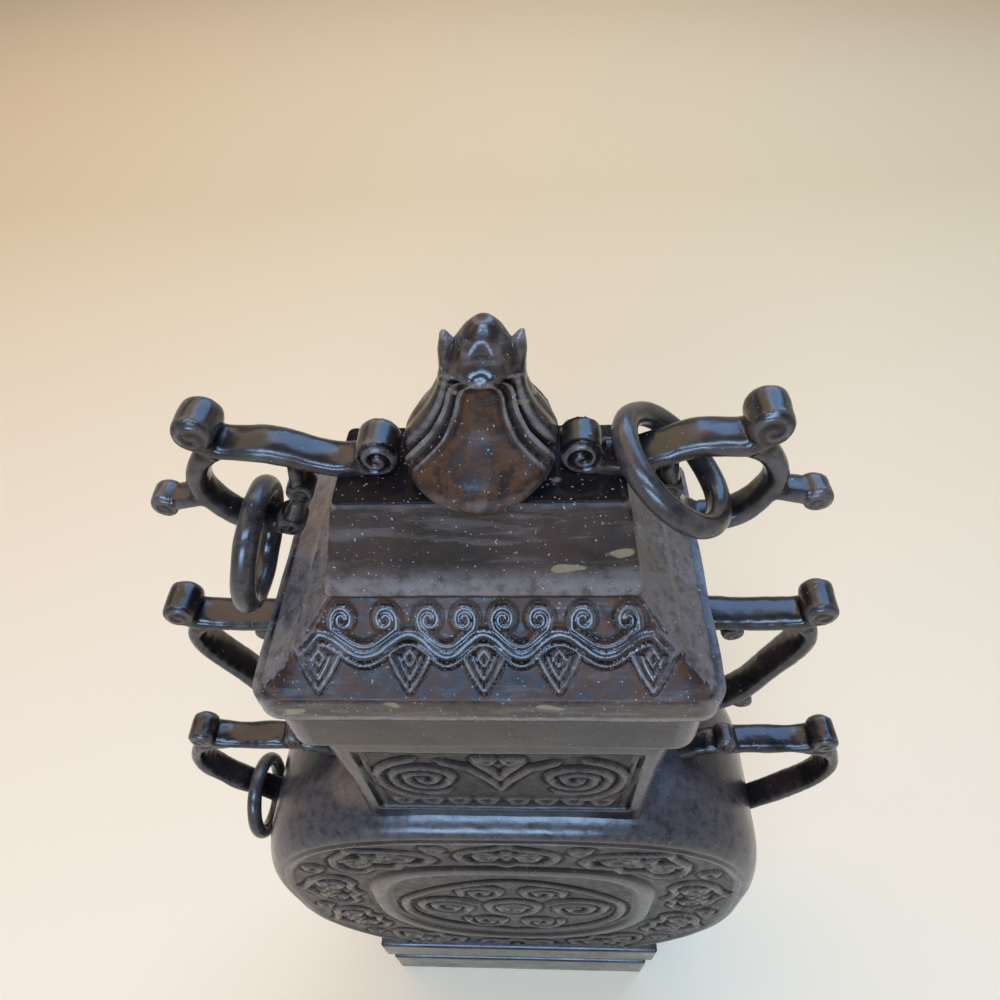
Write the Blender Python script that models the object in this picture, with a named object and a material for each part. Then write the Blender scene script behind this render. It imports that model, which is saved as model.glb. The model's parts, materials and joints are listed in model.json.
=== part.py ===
"""Lidded jade vase: a flat round flask with a hipped lid, scroll handles and loose rings.

Metres, +Z up, front towards -Y. The origin is at the middle of the foot's underside.
"""
import bpy
import bmesh
import math
from mathutils import Vector

# Lid: a hipped roof with a steep upper block over a flared slope and an upright eave band
EAVE_WIDTH = 0.0960
EAVE_DEPTH = 0.0676
EAVE_BAND = 0.0088
EAVE_CORNER = 0.0050
SLOPE_HEIGHT = 0.0146
SLOPE_SAG = 0.0011
BLOCK_WIDTH = 0.0628
BLOCK_DEPTH = 0.0380
BLOCK_HEIGHT = 0.0190
BLOCK_STEP = 0.0010
PLATEAU_WIDTH = 0.0538
PLATEAU_DEPTH = 0.0196
EDGE_ROUND = 0.0014

# The lid is hollowed from below, and a flange keeps it in the mouth
LID_SEAT_GAP = 0.0003
LID_WALL = 0.0060
FLANGE_DROP = 0.0060
FLANGE_WALL = 0.0045
FLANGE_CLEARANCE = 0.0008

# Rim and neck
RIM_WIDTH = 0.0920
RIM_DEPTH = 0.0648
RIM_HEIGHT = 0.0164
RIM_CORNER = 0.0055
NECK_TOP_WIDTH = 0.0868
NECK_TOP_DEPTH = 0.0550
NECK_WIDTH = 0.0830
NECK_DEPTH = 0.0500
NECK_HEIGHT = 0.0648
NECK_CORNER = 0.0030
NECK_WALL = 0.0065
NECK_FLARE_POWER = 2.2
NECK_PANEL_MARGIN = 0.0048
NECK_PANEL_LOW = 0.07
NECK_PANEL_HIGH = 0.74

# Body: its outline is a broad-shouldered circle, seen from the front
BODY_WIDTH = 0.1750
BODY_HEIGHT = 0.1730
BODY_THICKNESS = 0.0636
BODY_EDGE = 0.0062
BODY_SIDE_FLAT = 0.0300
BODY_WALL = 0.0070
SHOULDER_SQUARENESS = 3.3
BELLY_SQUARENESS = 2.25

# Foot: a tapered upper step over a plain plinth
FOOT_STEP_WIDTH = 0.1240
FOOT_STEP_DEPTH = 0.0660
FOOT_STEP_HEIGHT = 0.0215
FOOT_TAPER = 0.0050
FOOT_WIDTH = 0.1180
FOOT_DEPTH = 0.0672
FOOT_HEIGHT = 0.0235
FOOT_CORNER = 0.0020

# Straps and rolls of the handles
STRAP_DEPTH = 0.0092
STRAP_THICKNESS = 0.0045
STEM_THICKNESS = 0.0034
LID_STRAP_DEPTH = 0.0086
LID_ARM_DEPTH = 0.0068
ROLL_RADIUS = 0.0041
SMALL_ROLL_RADIUS = 0.0029
STRAP_CHAMFER = 0.28
ROLL_CHAMFER = 0.22
# Lengths of the rolls as shares of their strap's depth
ROLL_LENGTH = 1.08
SMALL_ROLL_LENGTH = 0.9

# Loose rings, all of one size
RING_RADIUS = 0.0126
RING_TUBE = 0.0025
RING_GAP = 0.0005

# Bud finial
FINIAL_HEIGHT = 0.0325
FINIAL_RADIUS = 0.0144
FINIAL_LEAN = 0.0024
FINIAL_FLUTES = 6
FINIAL_FLUTE = 0.08
# Bulb as shares of its radius and height; ears as share of the radius, lean outwards and height
FINIAL_PROFILE = [(0.60, -0.04), (0.80, 0.02), (0.98, 0.12), (0.98, 0.22), (0.86, 0.34), (0.66, 0.47),
                  (0.53, 0.59), (0.46, 0.71), (0.36, 0.83), (0.25, 0.93), (0.10, 1.0)]
FINIAL_EAR = [(0.26, 0.20, 0.50), (0.20, 0.32, 0.68), (0.12, 0.40, 0.82), (0.03, 0.45, 0.93)]

# Carving
LID_RELIEF = 0.0008
NECK_RELIEF = 0.0011
BODY_RELIEF = 0.0012

# Heights of the main levels, from the foot up
BODY_BOTTOM = FOOT_HEIGHT
BODY_CENTRE = BODY_BOTTOM + BODY_HEIGHT / 2
SHOULDER = BODY_BOTTOM + BODY_HEIGHT
RIM_BOTTOM = SHOULDER + NECK_HEIGHT
RIM_TOP = RIM_BOTTOM + RIM_HEIGHT
LID_BOTTOM = RIM_TOP + LID_SEAT_GAP
EAVE_TOP = LID_BOTTOM + EAVE_BAND
BLOCK_BOTTOM = EAVE_TOP + SLOPE_HEIGHT
PLATEAU = BLOCK_BOTTOM + BLOCK_HEIGHT

# The mouth is a straight bore down the neck
MOUTH_WIDTH = NECK_WIDTH - 2 * NECK_WALL
MOUTH_DEPTH = NECK_DEPTH - 2 * NECK_WALL

# Handles: each centre line is a few points, as shares of the handle's own reach and drop
LID_LOOP_REACH = 0.0629
LID_LOOP_STRAP = [(0.305, 0.025), (0.366, 0.020), (0.431, 0.014), (0.504, 0.034), (0.573, 0.063),
                  (0.649, 0.088), (0.725, 0.090), (0.790, 0.096), (0.845, 0.135)]
LID_LOOP_ARM = [(0.763, 0.088), (0.850, 0.046), (0.905, -0.050), (0.885, -0.150), (0.820, -0.235),
                (0.735, -0.262), (0.655, -0.258)]
LID_LOOP_STEM = [(0.655, -0.258), (0.600, -0.140), (0.565, 0.050)]
LID_LOOP_LINK = [(0.890, -0.120), (1.030, -0.150)]
LID_LOOP_ROLLS = [(0.305, 0.070), (0.832, 0.170)]
LID_LOOP_SMALL_ROLLS = [(1.048, -0.153), (0.655, -0.258), (0.584, -0.100)]

NECK_HANDLE_REACH = 0.0314
NECK_HANDLE_DROP = 0.0422
NECK_HANDLE_STRAP = [(-0.12, 0.125), (0.22, 0.136), (0.53, 0.125), (0.83, 0.136), (0.985, 0.17)]
NECK_HANDLE_ARM = [(0.83, 0.136), (0.985, 0.023), (0.985, -0.17), (0.82, -0.47), (0.65, -0.77), (0.37, -0.94),
                   (-0.18, -1.0)]
NECK_HANDLE_ROLL = (1.0, 0.25)
NECK_HANDLE_SMALL_ROLLS = [(0.70, -0.83), (0.40, 0.03)]

SHOULDER_HANDLE_REACH = 0.0178
SHOULDER_HANDLE_DROP = 0.0566
SHOULDER_HANDLE_STRAP = [(-1.84, -0.153), (-1.30, -0.050), (-0.62, -0.034), (0.054, -0.034), (0.46, -0.009)]
SHOULDER_HANDLE_ARM = [(0.19, -0.034), (0.68, -0.068), (1.0, -0.22), (1.0, -0.407), (0.73, -0.62),
                       (-0.19, -1.0)]
SHOULDER_HANDLE_ROLL = (0.62, 0.045)
SHOULDER_HANDLE_SMALL_ROLL = (-1.03, 0.0)

# Where each ring crosses over its handle, as a share along that handle's centre line, and how it lies
RIGHT_RING_SHARE = 0.42
RIGHT_RING_SWING = 12.0
RIGHT_RING_TILT = 40.0
LEFT_RING_SHARE = 0.83
LEFT_RING_LEAN = 13.0
LEFT_RING_SWING = 16.0
SHOULDER_RING_SHARE = 0.86
SHOULDER_RING_SWING = 14.0

# Facets: points along a span of an arm, round a roll, round and along a ring's tube
SPAN_STEPS = 2
ROLL_SIDES = 9
RING_STEPS = 20
TUBE_SIDES = 6
CORNER_STEPS = 3
SLOPE_STEPS = 4
SLOPE_LEAD = 0.12
FINIAL_SIDES = 18
EAR_SIDES = 6
BODY_SIDES = 50
CHAMBER_SIDES = 20

# Carving rhythm
LID_HEADS = 4
BODY_HEADS = 10

# A cloud head, in shares of its own width: two lobes and a crown over a tongue
LOBE_ASIDE = 0.22
LOBE_RISE = 0.10
LOBE_REACH = 0.25
CROWN_RISE = 0.24
CROWN_REACH = 0.17
TONGUE_WIDTH = 0.30
TONGUE_TAPER = 0.60
TONGUE_MIDDLE = -0.10
TONGUE_LENGTH = 0.42

# The lid's band, in shares of the slope from the block down
BAND_TOP = 0.05
BAND_BOTTOM = 0.92
BAND_MARGIN = 0.0012
LID_HEAD_LEVEL = 0.30
LID_HEAD_STRETCH = 1.1
GARLAND_LEVEL = 0.56
GARLAND_SWING = 0.10
GARLAND_REACH = 0.07
GARLAND_HEIGHT = 0.8
LEAF_LEVEL = 0.70
LEAF_NARROWING = 2.6
LEAF_STRETCH = 1.6
LEAF_REACH = 0.42
BACK_GARLAND_REACH = 0.30
BACK_GARLAND_HEIGHT = 0.5

# The round face, in shares of its radius
MOULDING_SHARE = 0.60
MOULDING_REACH = 0.045
EDGE_LINE_SHARE = 0.985
EDGE_LINE_REACH = 0.02
EDGE_LINE_HEIGHT = 0.5
HEAD_SHARE = 0.80
HEAD_WIDTH = 0.42
HEAD_LENGTH = 0.34
HEAD_HEIGHT = 0.75
MEDALLION_SHARE = 0.54
SWIRL_MIDDLE = 0.32
SWIRL_REACH = 0.26
SWIRL_TURNS = 11.0
SWIRL_HEIGHT = 0.8
BOSS_REACH = 0.16
BOSS_HEIGHT = 0.6
FRONT_SHARES = [0.13, 0.27, 0.41, 0.55, 0.60, 0.65, 0.73, 0.81, 0.89, 1.0]
BACK_SHARES = [0.55, 0.60, 0.65, 1.0]
SIDE_TURNS = [26, 56, 90]

# The neck's panel, from -1 to 1 each way
POINT_WIDTH = 0.55
POINT_NARROWING = 1.5
POINT_TAPER = 0.75
POINT_MIDDLE = 0.35
POINT_LENGTH = 1.1
SCROLL_ASIDE = 0.60
SCROLL_STRETCH = 1.1
SCROLL_FLATTEN = 0.62
SCROLL_RADIUS = 0.30
SCROLL_REACH = 0.11
EYE_REACH = 0.13
BORDER_INSET = 0.04
BORDER_PLACE = 0.90
BORDER_REACH = 0.07
PANEL_CARVING_HEIGHT = 0.9

# Small overlaps that keep carved blocks from sharing a face with what carries them
SKIN_LIFT = 0.0001
SKIN_SINK = 0.0004
BLOCK_SINK = 0.0030


def clear_scene():
    for thing in list(bpy.data.objects):
        bpy.data.objects.remove(thing, do_unlink=True)


def stone(name, colour, roughness):
    material = bpy.data.materials.new(name)
    material.use_nodes = True
    shader = material.node_tree.nodes["Principled BSDF"]
    shader.inputs["Base Color"].default_value = (*colour, 1.0)
    shader.inputs["Roughness"].default_value = roughness
    return material


def make_object(name, mesh_data):
    """An object from a bmesh, with outward normals."""
    bmesh.ops.recalc_face_normals(mesh_data, faces=mesh_data.faces)
    mesh = bpy.data.meshes.new(name)
    mesh_data.to_mesh(mesh)
    mesh_data.free()
    thing = bpy.data.objects.new(name, mesh)
    bpy.context.scene.collection.objects.link(thing)
    return thing


def loft(name, rings):
    """Skin a list of rings, each with the same number of points, and close both ends."""
    work = bmesh.new()
    loops = [[work.verts.new(point) for point in ring] for ring in rings]
    count = len(loops[0])
    for low, high in zip(loops, loops[1:]):
        for i in range(count):
            j = (i + 1) % count
            work.faces.new((low[i], low[j], high[j], high[i]))
    work.faces.new(loops[0])
    work.faces.new(loops[-1])
    return make_object(name, work)


def rounded_rectangle(width, depth, corner, z):
    """Points round a rectangle with round corners, at height z."""
    points = []
    centres = [(1, 1), (-1, 1), (-1, -1), (1, -1)]
    for quarter, (sign_x, sign_y) in enumerate(centres):
        for step in range(CORNER_STEPS + 1):
            angle = math.radians(90 * (quarter + step / CORNER_STEPS))
            x = sign_x * (width / 2 - corner) + corner * math.cos(angle)
            y = sign_y * (depth / 2 - corner) + corner * math.sin(angle)
            points.append((x, y, z))
    return points


def between(p, q, r, s, t):
    """A value between q and r, on a smooth (Catmull-Rom) curve through all four."""
    bend = 2 * p - 5 * q + 4 * r - s
    twist = 3 * q - p - 3 * r + s
    return 0.5 * (2 * q + (r - p) * t + bend * t * t + twist * t ** 3)


def smooth_path(points, steps=SPAN_STEPS):
    """A smooth line through the points, with equal steps in each span."""
    padded = [points[0]] + list(points) + [points[-1]]
    path = []
    for a, b, c, d in zip(padded, padded[1:], padded[2:], padded[3:]):
        for step in range(steps):
            t = step / steps
            path.append(tuple(between(*values, t) for values in zip(a, b, c, d)))
    path.append(tuple(points[-1]))
    return path


def strap(points, thickness, depth, steps=SPAN_STEPS):
    """A flat strap with chamfered edges along a line in the XZ plane."""
    path = [Vector((x, 0, z)) for x, z in smooth_path(points, steps)]
    chamfer = thickness * STRAP_CHAMFER
    half, side = thickness / 2, depth / 2
    inner, low = half - chamfer, side - chamfer
    section = [(half, low), (inner, side), (-inner, side), (-half, low),
               (-half, -low), (-inner, -side), (inner, -side), (half, -low)]
    rings = []
    for i, centre in enumerate(path):
        run = path[min(i + 1, len(path) - 1)] - path[max(i - 1, 0)]
        across = Vector((-run.z, 0, run.x)).normalized()
        rings.append([centre + across * a + Vector((0, b, 0)) for a, b in section])
    return loft("strap", rings)


def roll(x, z, radius, length):
    """A rolled end: a short cylinder along Y with softened rims."""
    chamfer = radius * ROLL_CHAMFER
    profile = [(radius - chamfer, -length / 2), (radius, chamfer - length / 2),
               (radius, length / 2 - chamfer), (radius - chamfer, length / 2)]
    rings = []
    for r, y in profile:
        turns = [math.tau * (i + 0.5) / ROLL_SIDES for i in range(ROLL_SIDES)]
        rings.append([(x + r * math.cos(t), y, z + r * math.sin(t)) for t in turns])
    return loft("roll", rings)


def combine(target, tools, operation):
    """Join the tools to the target, or cut them from it, one after another."""
    for tool in tools:
        change = target.modifiers.new(operation.lower(), "BOOLEAN")
        change.operation = operation
        change.solver = "EXACT"
        change.object = tool
        graph = bpy.context.evaluated_depsgraph_get()
        mesh = bpy.data.meshes.new_from_object(target.evaluated_get(graph))
        target.modifiers.remove(change)
        target.data = mesh
        bpy.data.objects.remove(tool, do_unlink=True)
    return target


def mirrored(thing):
    """A copy on the other side of the YZ plane."""
    copy = thing.copy()
    copy.data = thing.data.copy()
    bpy.context.scene.collection.objects.link(copy)
    for vertex in copy.data.vertices:
        vertex.co.x = -vertex.co.x
    copy.data.flip_normals()
    return copy


def both_sides(pieces):
    return pieces + [mirrored(piece) for piece in pieces]


def placed(shares, origin_x, origin_z, reach, drop):
    return [(origin_x + a * reach, origin_z + b * drop) for a, b in shares]


def bump(distance, reach):
    """A soft swelling: 1 in the middle, 0 from the reach on."""
    return max(0.0, 1 - (distance / reach) ** 2)


def cloud_head(across, along):
    """A cloud head, in shares of its width: two lobes over a tongue that points along -1."""
    lobe = bump(math.hypot(abs(across) - LOBE_ASIDE, along - LOBE_RISE), LOBE_REACH)
    crown = bump(math.hypot(across, along - CROWN_RISE), CROWN_REACH)
    narrowing = abs(across) + max(0.0, -along) * TONGUE_TAPER
    tongue = bump(narrowing, TONGUE_WIDTH) * bump(along - TONGUE_MIDDLE, TONGUE_LENGTH)
    return max(lobe, crown, tongue)


def lid_relief(across, down):
    """Carved band of the lid's slope: cloud heads, a garland below them and hanging leaves.

    across is in heads from the middle, down runs from 0 at the block to 1 at the eave.
    """
    local = (across + LID_HEADS / 2) % 1.0 - 0.5
    head = cloud_head(local, (LID_HEAD_LEVEL - down) * LID_HEAD_STRETCH)
    garland = bump(down - GARLAND_LEVEL - GARLAND_SWING * math.cos(math.tau * local), GARLAND_REACH)
    from_leaf = 0.5 - abs(local)
    leaf = bump(from_leaf * LEAF_NARROWING + abs(down - LEAF_LEVEL) * LEAF_STRETCH, LEAF_REACH)
    return max(head, GARLAND_HEIGHT * garland, leaf)


def body_relief(share, angle):
    """Carving of the round face: an outer row of cloud heads, a moulding and a swirling medallion.

    share is 0 in the middle and 1 at the face's edge line.
    """
    ridge = bump(share - MOULDING_SHARE, MOULDING_REACH)
    edge_line = EDGE_LINE_HEIGHT * bump(share - EDGE_LINE_SHARE, EDGE_LINE_REACH)
    turn = math.tau / BODY_HEADS
    local = (angle - math.pi / 2 + turn / 2) % turn - turn / 2
    head = cloud_head(local * share / HEAD_WIDTH, (share - HEAD_SHARE) / HEAD_LENGTH)
    swirl = 0.0
    if share < MEDALLION_SHARE:
        wave = max(0.0, math.cos(2 * angle + SWIRL_TURNS * share)) * bump(share - SWIRL_MIDDLE, SWIRL_REACH)
        swirl = SWIRL_HEIGHT * wave + BOSS_HEIGHT * bump(share, BOSS_REACH)
    return max(ridge, edge_line, HEAD_HEIGHT * head, swirl)


def neck_relief(across, up):
    """Carving of the neck's panel: paired scrolls beside a hanging point, from -1 to 1 each way."""
    wide = abs(across)
    narrowing = wide * POINT_NARROWING + max(0.0, -up) * POINT_TAPER
    point = bump(narrowing, POINT_WIDTH) * bump(up - POINT_MIDDLE, POINT_LENGTH)
    from_scroll = math.hypot((wide - SCROLL_ASIDE) * SCROLL_STRETCH, up * SCROLL_FLATTEN)
    scroll = bump(abs(from_scroll - SCROLL_RADIUS), SCROLL_REACH)
    eye = bump(from_scroll, EYE_REACH)
    frame_line = bump(max(wide - BORDER_INSET, abs(up)) - BORDER_PLACE, BORDER_REACH)
    return max(point, scroll, eye, frame_line)


def carved_block(name, surface, columns, rows, low, high):
    """A closed block over a patch: surface(s, t, height) with s and t from 0 to 1."""
    work = bmesh.new()
    tops, floors = [], []
    for row in range(rows + 1):
        t = row / rows
        stations = [c / columns for c in range(columns + 1)]
        tops.append([work.verts.new(surface(s, t, high(s, t))) for s in stations])
        floors.append([work.verts.new(surface(s, t, low)) for s in stations])
    for row in range(rows):
        for c in range(columns):
            work.faces.new((tops[row][c], tops[row][c + 1], tops[row + 1][c + 1], tops[row + 1][c]))
    border = [(0, c) for c in range(columns)] + [(r, columns) for r in range(rows)]
    border += [(rows, c) for c in range(columns, 0, -1)] + [(r, 0) for r in range(rows, 0, -1)]
    corners = {(0, 0), (0, columns), (rows, columns), (rows, 0)}
    rim = [tops[r][c] for r, c in border]
    foot = [floors[r][c] if (r, c) in corners else None for r, c in border]
    floor_face = [v for v in foot if v is not None]
    work.faces.new(floor_face)
    order = [i for i, v in enumerate(foot) if v is not None]
    for first, second in zip(order, order[1:] + [len(border)]):
        run = [rim[i % len(rim)] for i in range(first, second + 1)]
        work.faces.new(run + [foot[second % len(rim)], foot[first]])
    loose = [v for line in floors for v in line if not v.link_faces]
    bmesh.ops.delete(work, geom=loose, context="VERTS")
    return make_object(name, work)


def slope_point(front, s, t, height, margin):
    """A point over the lid's slope: s across, t down from the block to the eave."""
    half = (BLOCK_WIDTH + (EAVE_WIDTH - BLOCK_WIDTH) * t) / 2 - margin
    y = BLOCK_DEPTH / 2 - BLOCK_STEP + ((EAVE_DEPTH - BLOCK_DEPTH) / 2 + BLOCK_STEP) * t
    z = BLOCK_BOTTOM - SLOPE_HEIGHT * t - SLOPE_SAG * math.sin(math.pi * t)
    run = (EAVE_DEPTH - BLOCK_DEPTH) / 2
    size = math.hypot(run, SLOPE_HEIGHT)
    return ((2 * s - 1) * half, front * (y + height * SLOPE_HEIGHT / size), z + height * run / size)


def eave_rings():
    """Sections of the lid's outside, from the seat up to the plateau."""
    e = EDGE_ROUND
    rings = [rounded_rectangle(EAVE_WIDTH - 2 * e, EAVE_DEPTH - 2 * e, EAVE_CORNER - e, LID_BOTTOM),
             rounded_rectangle(EAVE_WIDTH, EAVE_DEPTH, EAVE_CORNER, LID_BOTTOM + e),
             rounded_rectangle(EAVE_WIDTH, EAVE_DEPTH, EAVE_CORNER, EAVE_TOP - e / 2)]
    for i in range(SLOPE_STEPS + 1):
        t = 1 - (i + SLOPE_LEAD) / (SLOPE_STEPS + SLOPE_LEAD)
        grow = (EAVE_DEPTH - BLOCK_DEPTH + 2 * BLOCK_STEP) * t - 2 * BLOCK_STEP
        corner = EDGE_ROUND + (EAVE_CORNER - EDGE_ROUND) * t
        z = BLOCK_BOTTOM - SLOPE_HEIGHT * t - SLOPE_SAG * math.sin(math.pi * t)
        rings.append(rounded_rectangle(BLOCK_WIDTH + grow, BLOCK_DEPTH + grow, corner, z))
    for inset, rise in ((e / 2, e / 4), (0, e)):
        rings.append(rounded_rectangle(BLOCK_WIDTH - inset, BLOCK_DEPTH - inset, EDGE_ROUND, BLOCK_BOTTOM + rise))
    top_w, top_d = PLATEAU_WIDTH + 2 * e, PLATEAU_DEPTH + 2 * e
    rings.append(rounded_rectangle(top_w - e / 2, top_d - e / 2, EDGE_ROUND, PLATEAU - e))
    rings.append(rounded_rectangle(top_w - 2 * e, top_d - 2 * e, EDGE_ROUND / 2, PLATEAU))
    return rings


def finial_ring(radius, rise, lean, sides, flute=0.0):
    """Points round the finial at a share of its height; the whole bud leans a little to one side."""
    ring = []
    for i in range(sides):
        angle = math.tau * (i + 0.5) / sides
        reach = radius * (1 + flute * math.cos(FINIAL_FLUTES * angle + math.pi))
        ring.append((FINIAL_LEAN * rise + lean + reach * math.cos(angle), reach * math.sin(angle),
                     PLATEAU + rise * FINIAL_HEIGHT))
    return ring


def finial():
    """The bud: a ribbed bulb, drawn in to a waist, with two ears and a tongue on top."""
    bud = loft("finial", [
        finial_ring(FINIAL_RADIUS * share, rise, 0.0, FINIAL_SIDES, FINIAL_FLUTE * bump(rise - 0.40, 0.40))
        for share, rise in FINIAL_PROFILE])
    ears = []
    for side in (-1, 1):
        ears.append(loft("ear", [
            finial_ring(FINIAL_RADIUS * share, rise, side * FINIAL_RADIUS * lean, EAR_SIDES)
            for share, lean, rise in FINIAL_EAR]))
    return combine(bud, ears, "UNION")


def lid_loops():
    """Both side loops of the lid, with their rolled ends."""
    reach = LID_LOOP_REACH
    pieces = []
    outer_strap = placed(LID_LOOP_STRAP, 0, PLATEAU, reach, reach)
    pieces.append(strap(outer_strap, STRAP_THICKNESS, LID_STRAP_DEPTH, 1))
    arms = [(LID_LOOP_ARM, STRAP_THICKNESS, SPAN_STEPS),
            (LID_LOOP_STEM, STEM_THICKNESS, 1),
            (LID_LOOP_LINK, STEM_THICKNESS, 1)]
    for shares, thickness, steps in arms:
        pieces.append(strap(placed(shares, 0, PLATEAU, reach, reach), thickness, LID_ARM_DEPTH, steps))
    for x, z in placed(LID_LOOP_ROLLS, 0, PLATEAU, reach, reach):
        pieces.append(roll(x, z, ROLL_RADIUS, LID_STRAP_DEPTH * ROLL_LENGTH))
    for x, z in placed(LID_LOOP_SMALL_ROLLS, 0, PLATEAU, reach, reach):
        pieces.append(roll(x, z, SMALL_ROLL_RADIUS, LID_ARM_DEPTH))
    return both_sides(pieces)


def make_lid(material):
    lid = loft("lid", eave_rings())
    inner_w = MOUTH_WIDTH - 2 * FLANGE_CLEARANCE
    inner_d = MOUTH_DEPTH - 2 * FLANGE_CLEARANCE
    flange = loft("flange", [
        rounded_rectangle(inner_w, inner_d, NECK_CORNER, LID_BOTTOM - FLANGE_DROP),
        rounded_rectangle(inner_w, inner_d, NECK_CORNER, LID_BOTTOM + EAVE_BAND / 2)])
    hollow_w = inner_w - 2 * FLANGE_WALL
    hollow_d = inner_d - 2 * FLANGE_WALL
    # The ceiling lies one wall below the plateau, where the block is already wider and deeper
    drop = LID_WALL / BLOCK_HEIGHT
    top_w = min(hollow_w, PLATEAU_WIDTH + (BLOCK_WIDTH - PLATEAU_WIDTH) * drop - 2 * LID_WALL)
    top_d = min(hollow_d, PLATEAU_DEPTH + (BLOCK_DEPTH - PLATEAU_DEPTH) * drop - 2 * LID_WALL)
    hollow = loft("hollow", [
        rounded_rectangle(hollow_w, hollow_d, NECK_CORNER, LID_BOTTOM - 2 * FLANGE_DROP),
        rounded_rectangle(hollow_w, hollow_d, NECK_CORNER, EAVE_TOP),
        rounded_rectangle(top_w, top_d, NECK_CORNER, PLATEAU - LID_WALL)])
    head_pitch = BLOCK_WIDTH / LID_HEADS
    pieces = [flange]
    for front, columns, rows in ((-1, 40, 6), (1, 2, 6)):

        def surface(s, t, height, front=front):
            return slope_point(front, s, BAND_TOP + (BAND_BOTTOM - BAND_TOP) * t, height, BAND_MARGIN)

        def high(s, t, front=front, half_step=0.5 / max(columns, rows)):
            down = BAND_TOP + (BAND_BOTTOM - BAND_TOP) * t
            half = (BLOCK_WIDTH + (EAVE_WIDTH - BLOCK_WIDTH) * down) / 2 - BAND_MARGIN
            if min(s, 1 - s, t, 1 - t) < half_step:
                return -SKIN_SINK
            if front > 0:
                garland = bump(down - GARLAND_LEVEL, BACK_GARLAND_REACH)
                return SKIN_LIFT + BACK_GARLAND_HEIGHT * LID_RELIEF * garland
            return SKIN_LIFT + LID_RELIEF * lid_relief((2 * s - 1) * half / head_pitch, down)

        pieces.append(carved_block("carving", surface, columns, rows, -BLOCK_SINK, high))
    combine(lid, pieces, "UNION")
    combine(lid, lid_loops() + [finial()], "UNION")
    combine(lid, [hollow], "DIFFERENCE")
    lid.data.materials.clear()
    lid.data.materials.append(material)
    return lid


def outline_radius(angle, half_width, half_height):
    """Distance from the middle of the body to its outline, seen from the front."""
    power = SHOULDER_SQUARENESS if math.sin(angle) > 0 else BELLY_SQUARENESS
    x = abs(math.cos(angle)) / half_width
    z = abs(math.sin(angle)) / half_height
    return (x ** power + z ** power) ** (-1 / power)


def body_ring(inset, share, y_of_angle):
    """Points round the body: the outline moved in by the inset, then shrunk to a share of itself."""
    ring = []
    for i in range(BODY_SIDES):
        angle = math.tau * i / BODY_SIDES
        radius = outline_radius(angle, BODY_WIDTH / 2 - inset, BODY_HEIGHT / 2 - inset) * share
        ring.append((radius * math.cos(angle), y_of_angle(angle), BODY_CENTRE + radius * math.sin(angle)))
    return ring


def body():
    """The flat round body: two carved faces joined by a swelling side."""
    ground = BODY_THICKNESS / 2 - BODY_RELIEF
    rings = []
    for share in FRONT_SHARES:
        rings.append(body_ring(BODY_EDGE, share,
                               lambda angle, share=share: -ground - BODY_RELIEF * body_relief(share, angle)))
    flat = BODY_SIDE_FLAT / 2
    side = [(BODY_EDGE * (1 - math.sin(math.radians(t))), flat + (ground - flat) * math.cos(math.radians(t)))
            for t in SIDE_TURNS]
    for inset, y in side:
        rings.append(body_ring(inset, 1.0, lambda a, y=y: -y))
    for inset, y in reversed(side):
        rings.append(body_ring(inset, 1.0, lambda a, y=y: y))
    for share in reversed(BACK_SHARES):
        ridge = BODY_RELIEF * bump(share - MOULDING_SHARE, MOULDING_REACH)
        rings.append(body_ring(BODY_EDGE, share, lambda a, r=ridge: ground + r))
    return loft("body", rings)


def neck_size(share):
    """Width and depth of the neck at a share of its height: it flares under the rim."""
    flare = max(0.0, share) ** NECK_FLARE_POWER
    width = NECK_WIDTH + (NECK_TOP_WIDTH - NECK_WIDTH) * flare
    depth = NECK_DEPTH + (NECK_TOP_DEPTH - NECK_DEPTH) * flare
    return width, depth


def neck_and_rim():
    rings = []
    for share in (-0.12, 0.0, 0.4, 0.72, 0.97):
        width, depth = neck_size(share)
        rings.append(rounded_rectangle(width, depth, NECK_CORNER, SHOULDER + share * NECK_HEIGHT))
    e = EDGE_ROUND
    for inset, z in ((e, RIM_BOTTOM), (0, RIM_BOTTOM + e), (0, RIM_TOP - e), (e, RIM_TOP)):
        rings.append(rounded_rectangle(RIM_WIDTH - 2 * inset, RIM_DEPTH - 2 * inset, RIM_CORNER - inset, z))
    return loft("neck", rings)


def foot():
    width, depth = FOOT_STEP_WIDTH, FOOT_STEP_DEPTH
    step_top = FOOT_HEIGHT + FOOT_STEP_HEIGHT
    taper = FOOT_TAPER
    upper = loft("foot step", [
        rounded_rectangle(width - 2 * taper, depth - taper, FOOT_CORNER, FOOT_HEIGHT - EDGE_ROUND),
        rounded_rectangle(width, depth, FOOT_CORNER, step_top - taper),
        rounded_rectangle(width, depth, FOOT_CORNER, step_top)])
    e = EDGE_ROUND
    lower = loft("foot plinth", [
        rounded_rectangle(FOOT_WIDTH - e, FOOT_DEPTH - e, FOOT_CORNER, 0),
        rounded_rectangle(FOOT_WIDTH, FOOT_DEPTH, FOOT_CORNER, e),
        rounded_rectangle(FOOT_WIDTH, FOOT_DEPTH, FOOT_CORNER, FOOT_HEIGHT - e),
        rounded_rectangle(FOOT_WIDTH - e, FOOT_DEPTH - e, FOOT_CORNER, FOOT_HEIGHT)])
    return [upper, lower]


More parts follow.
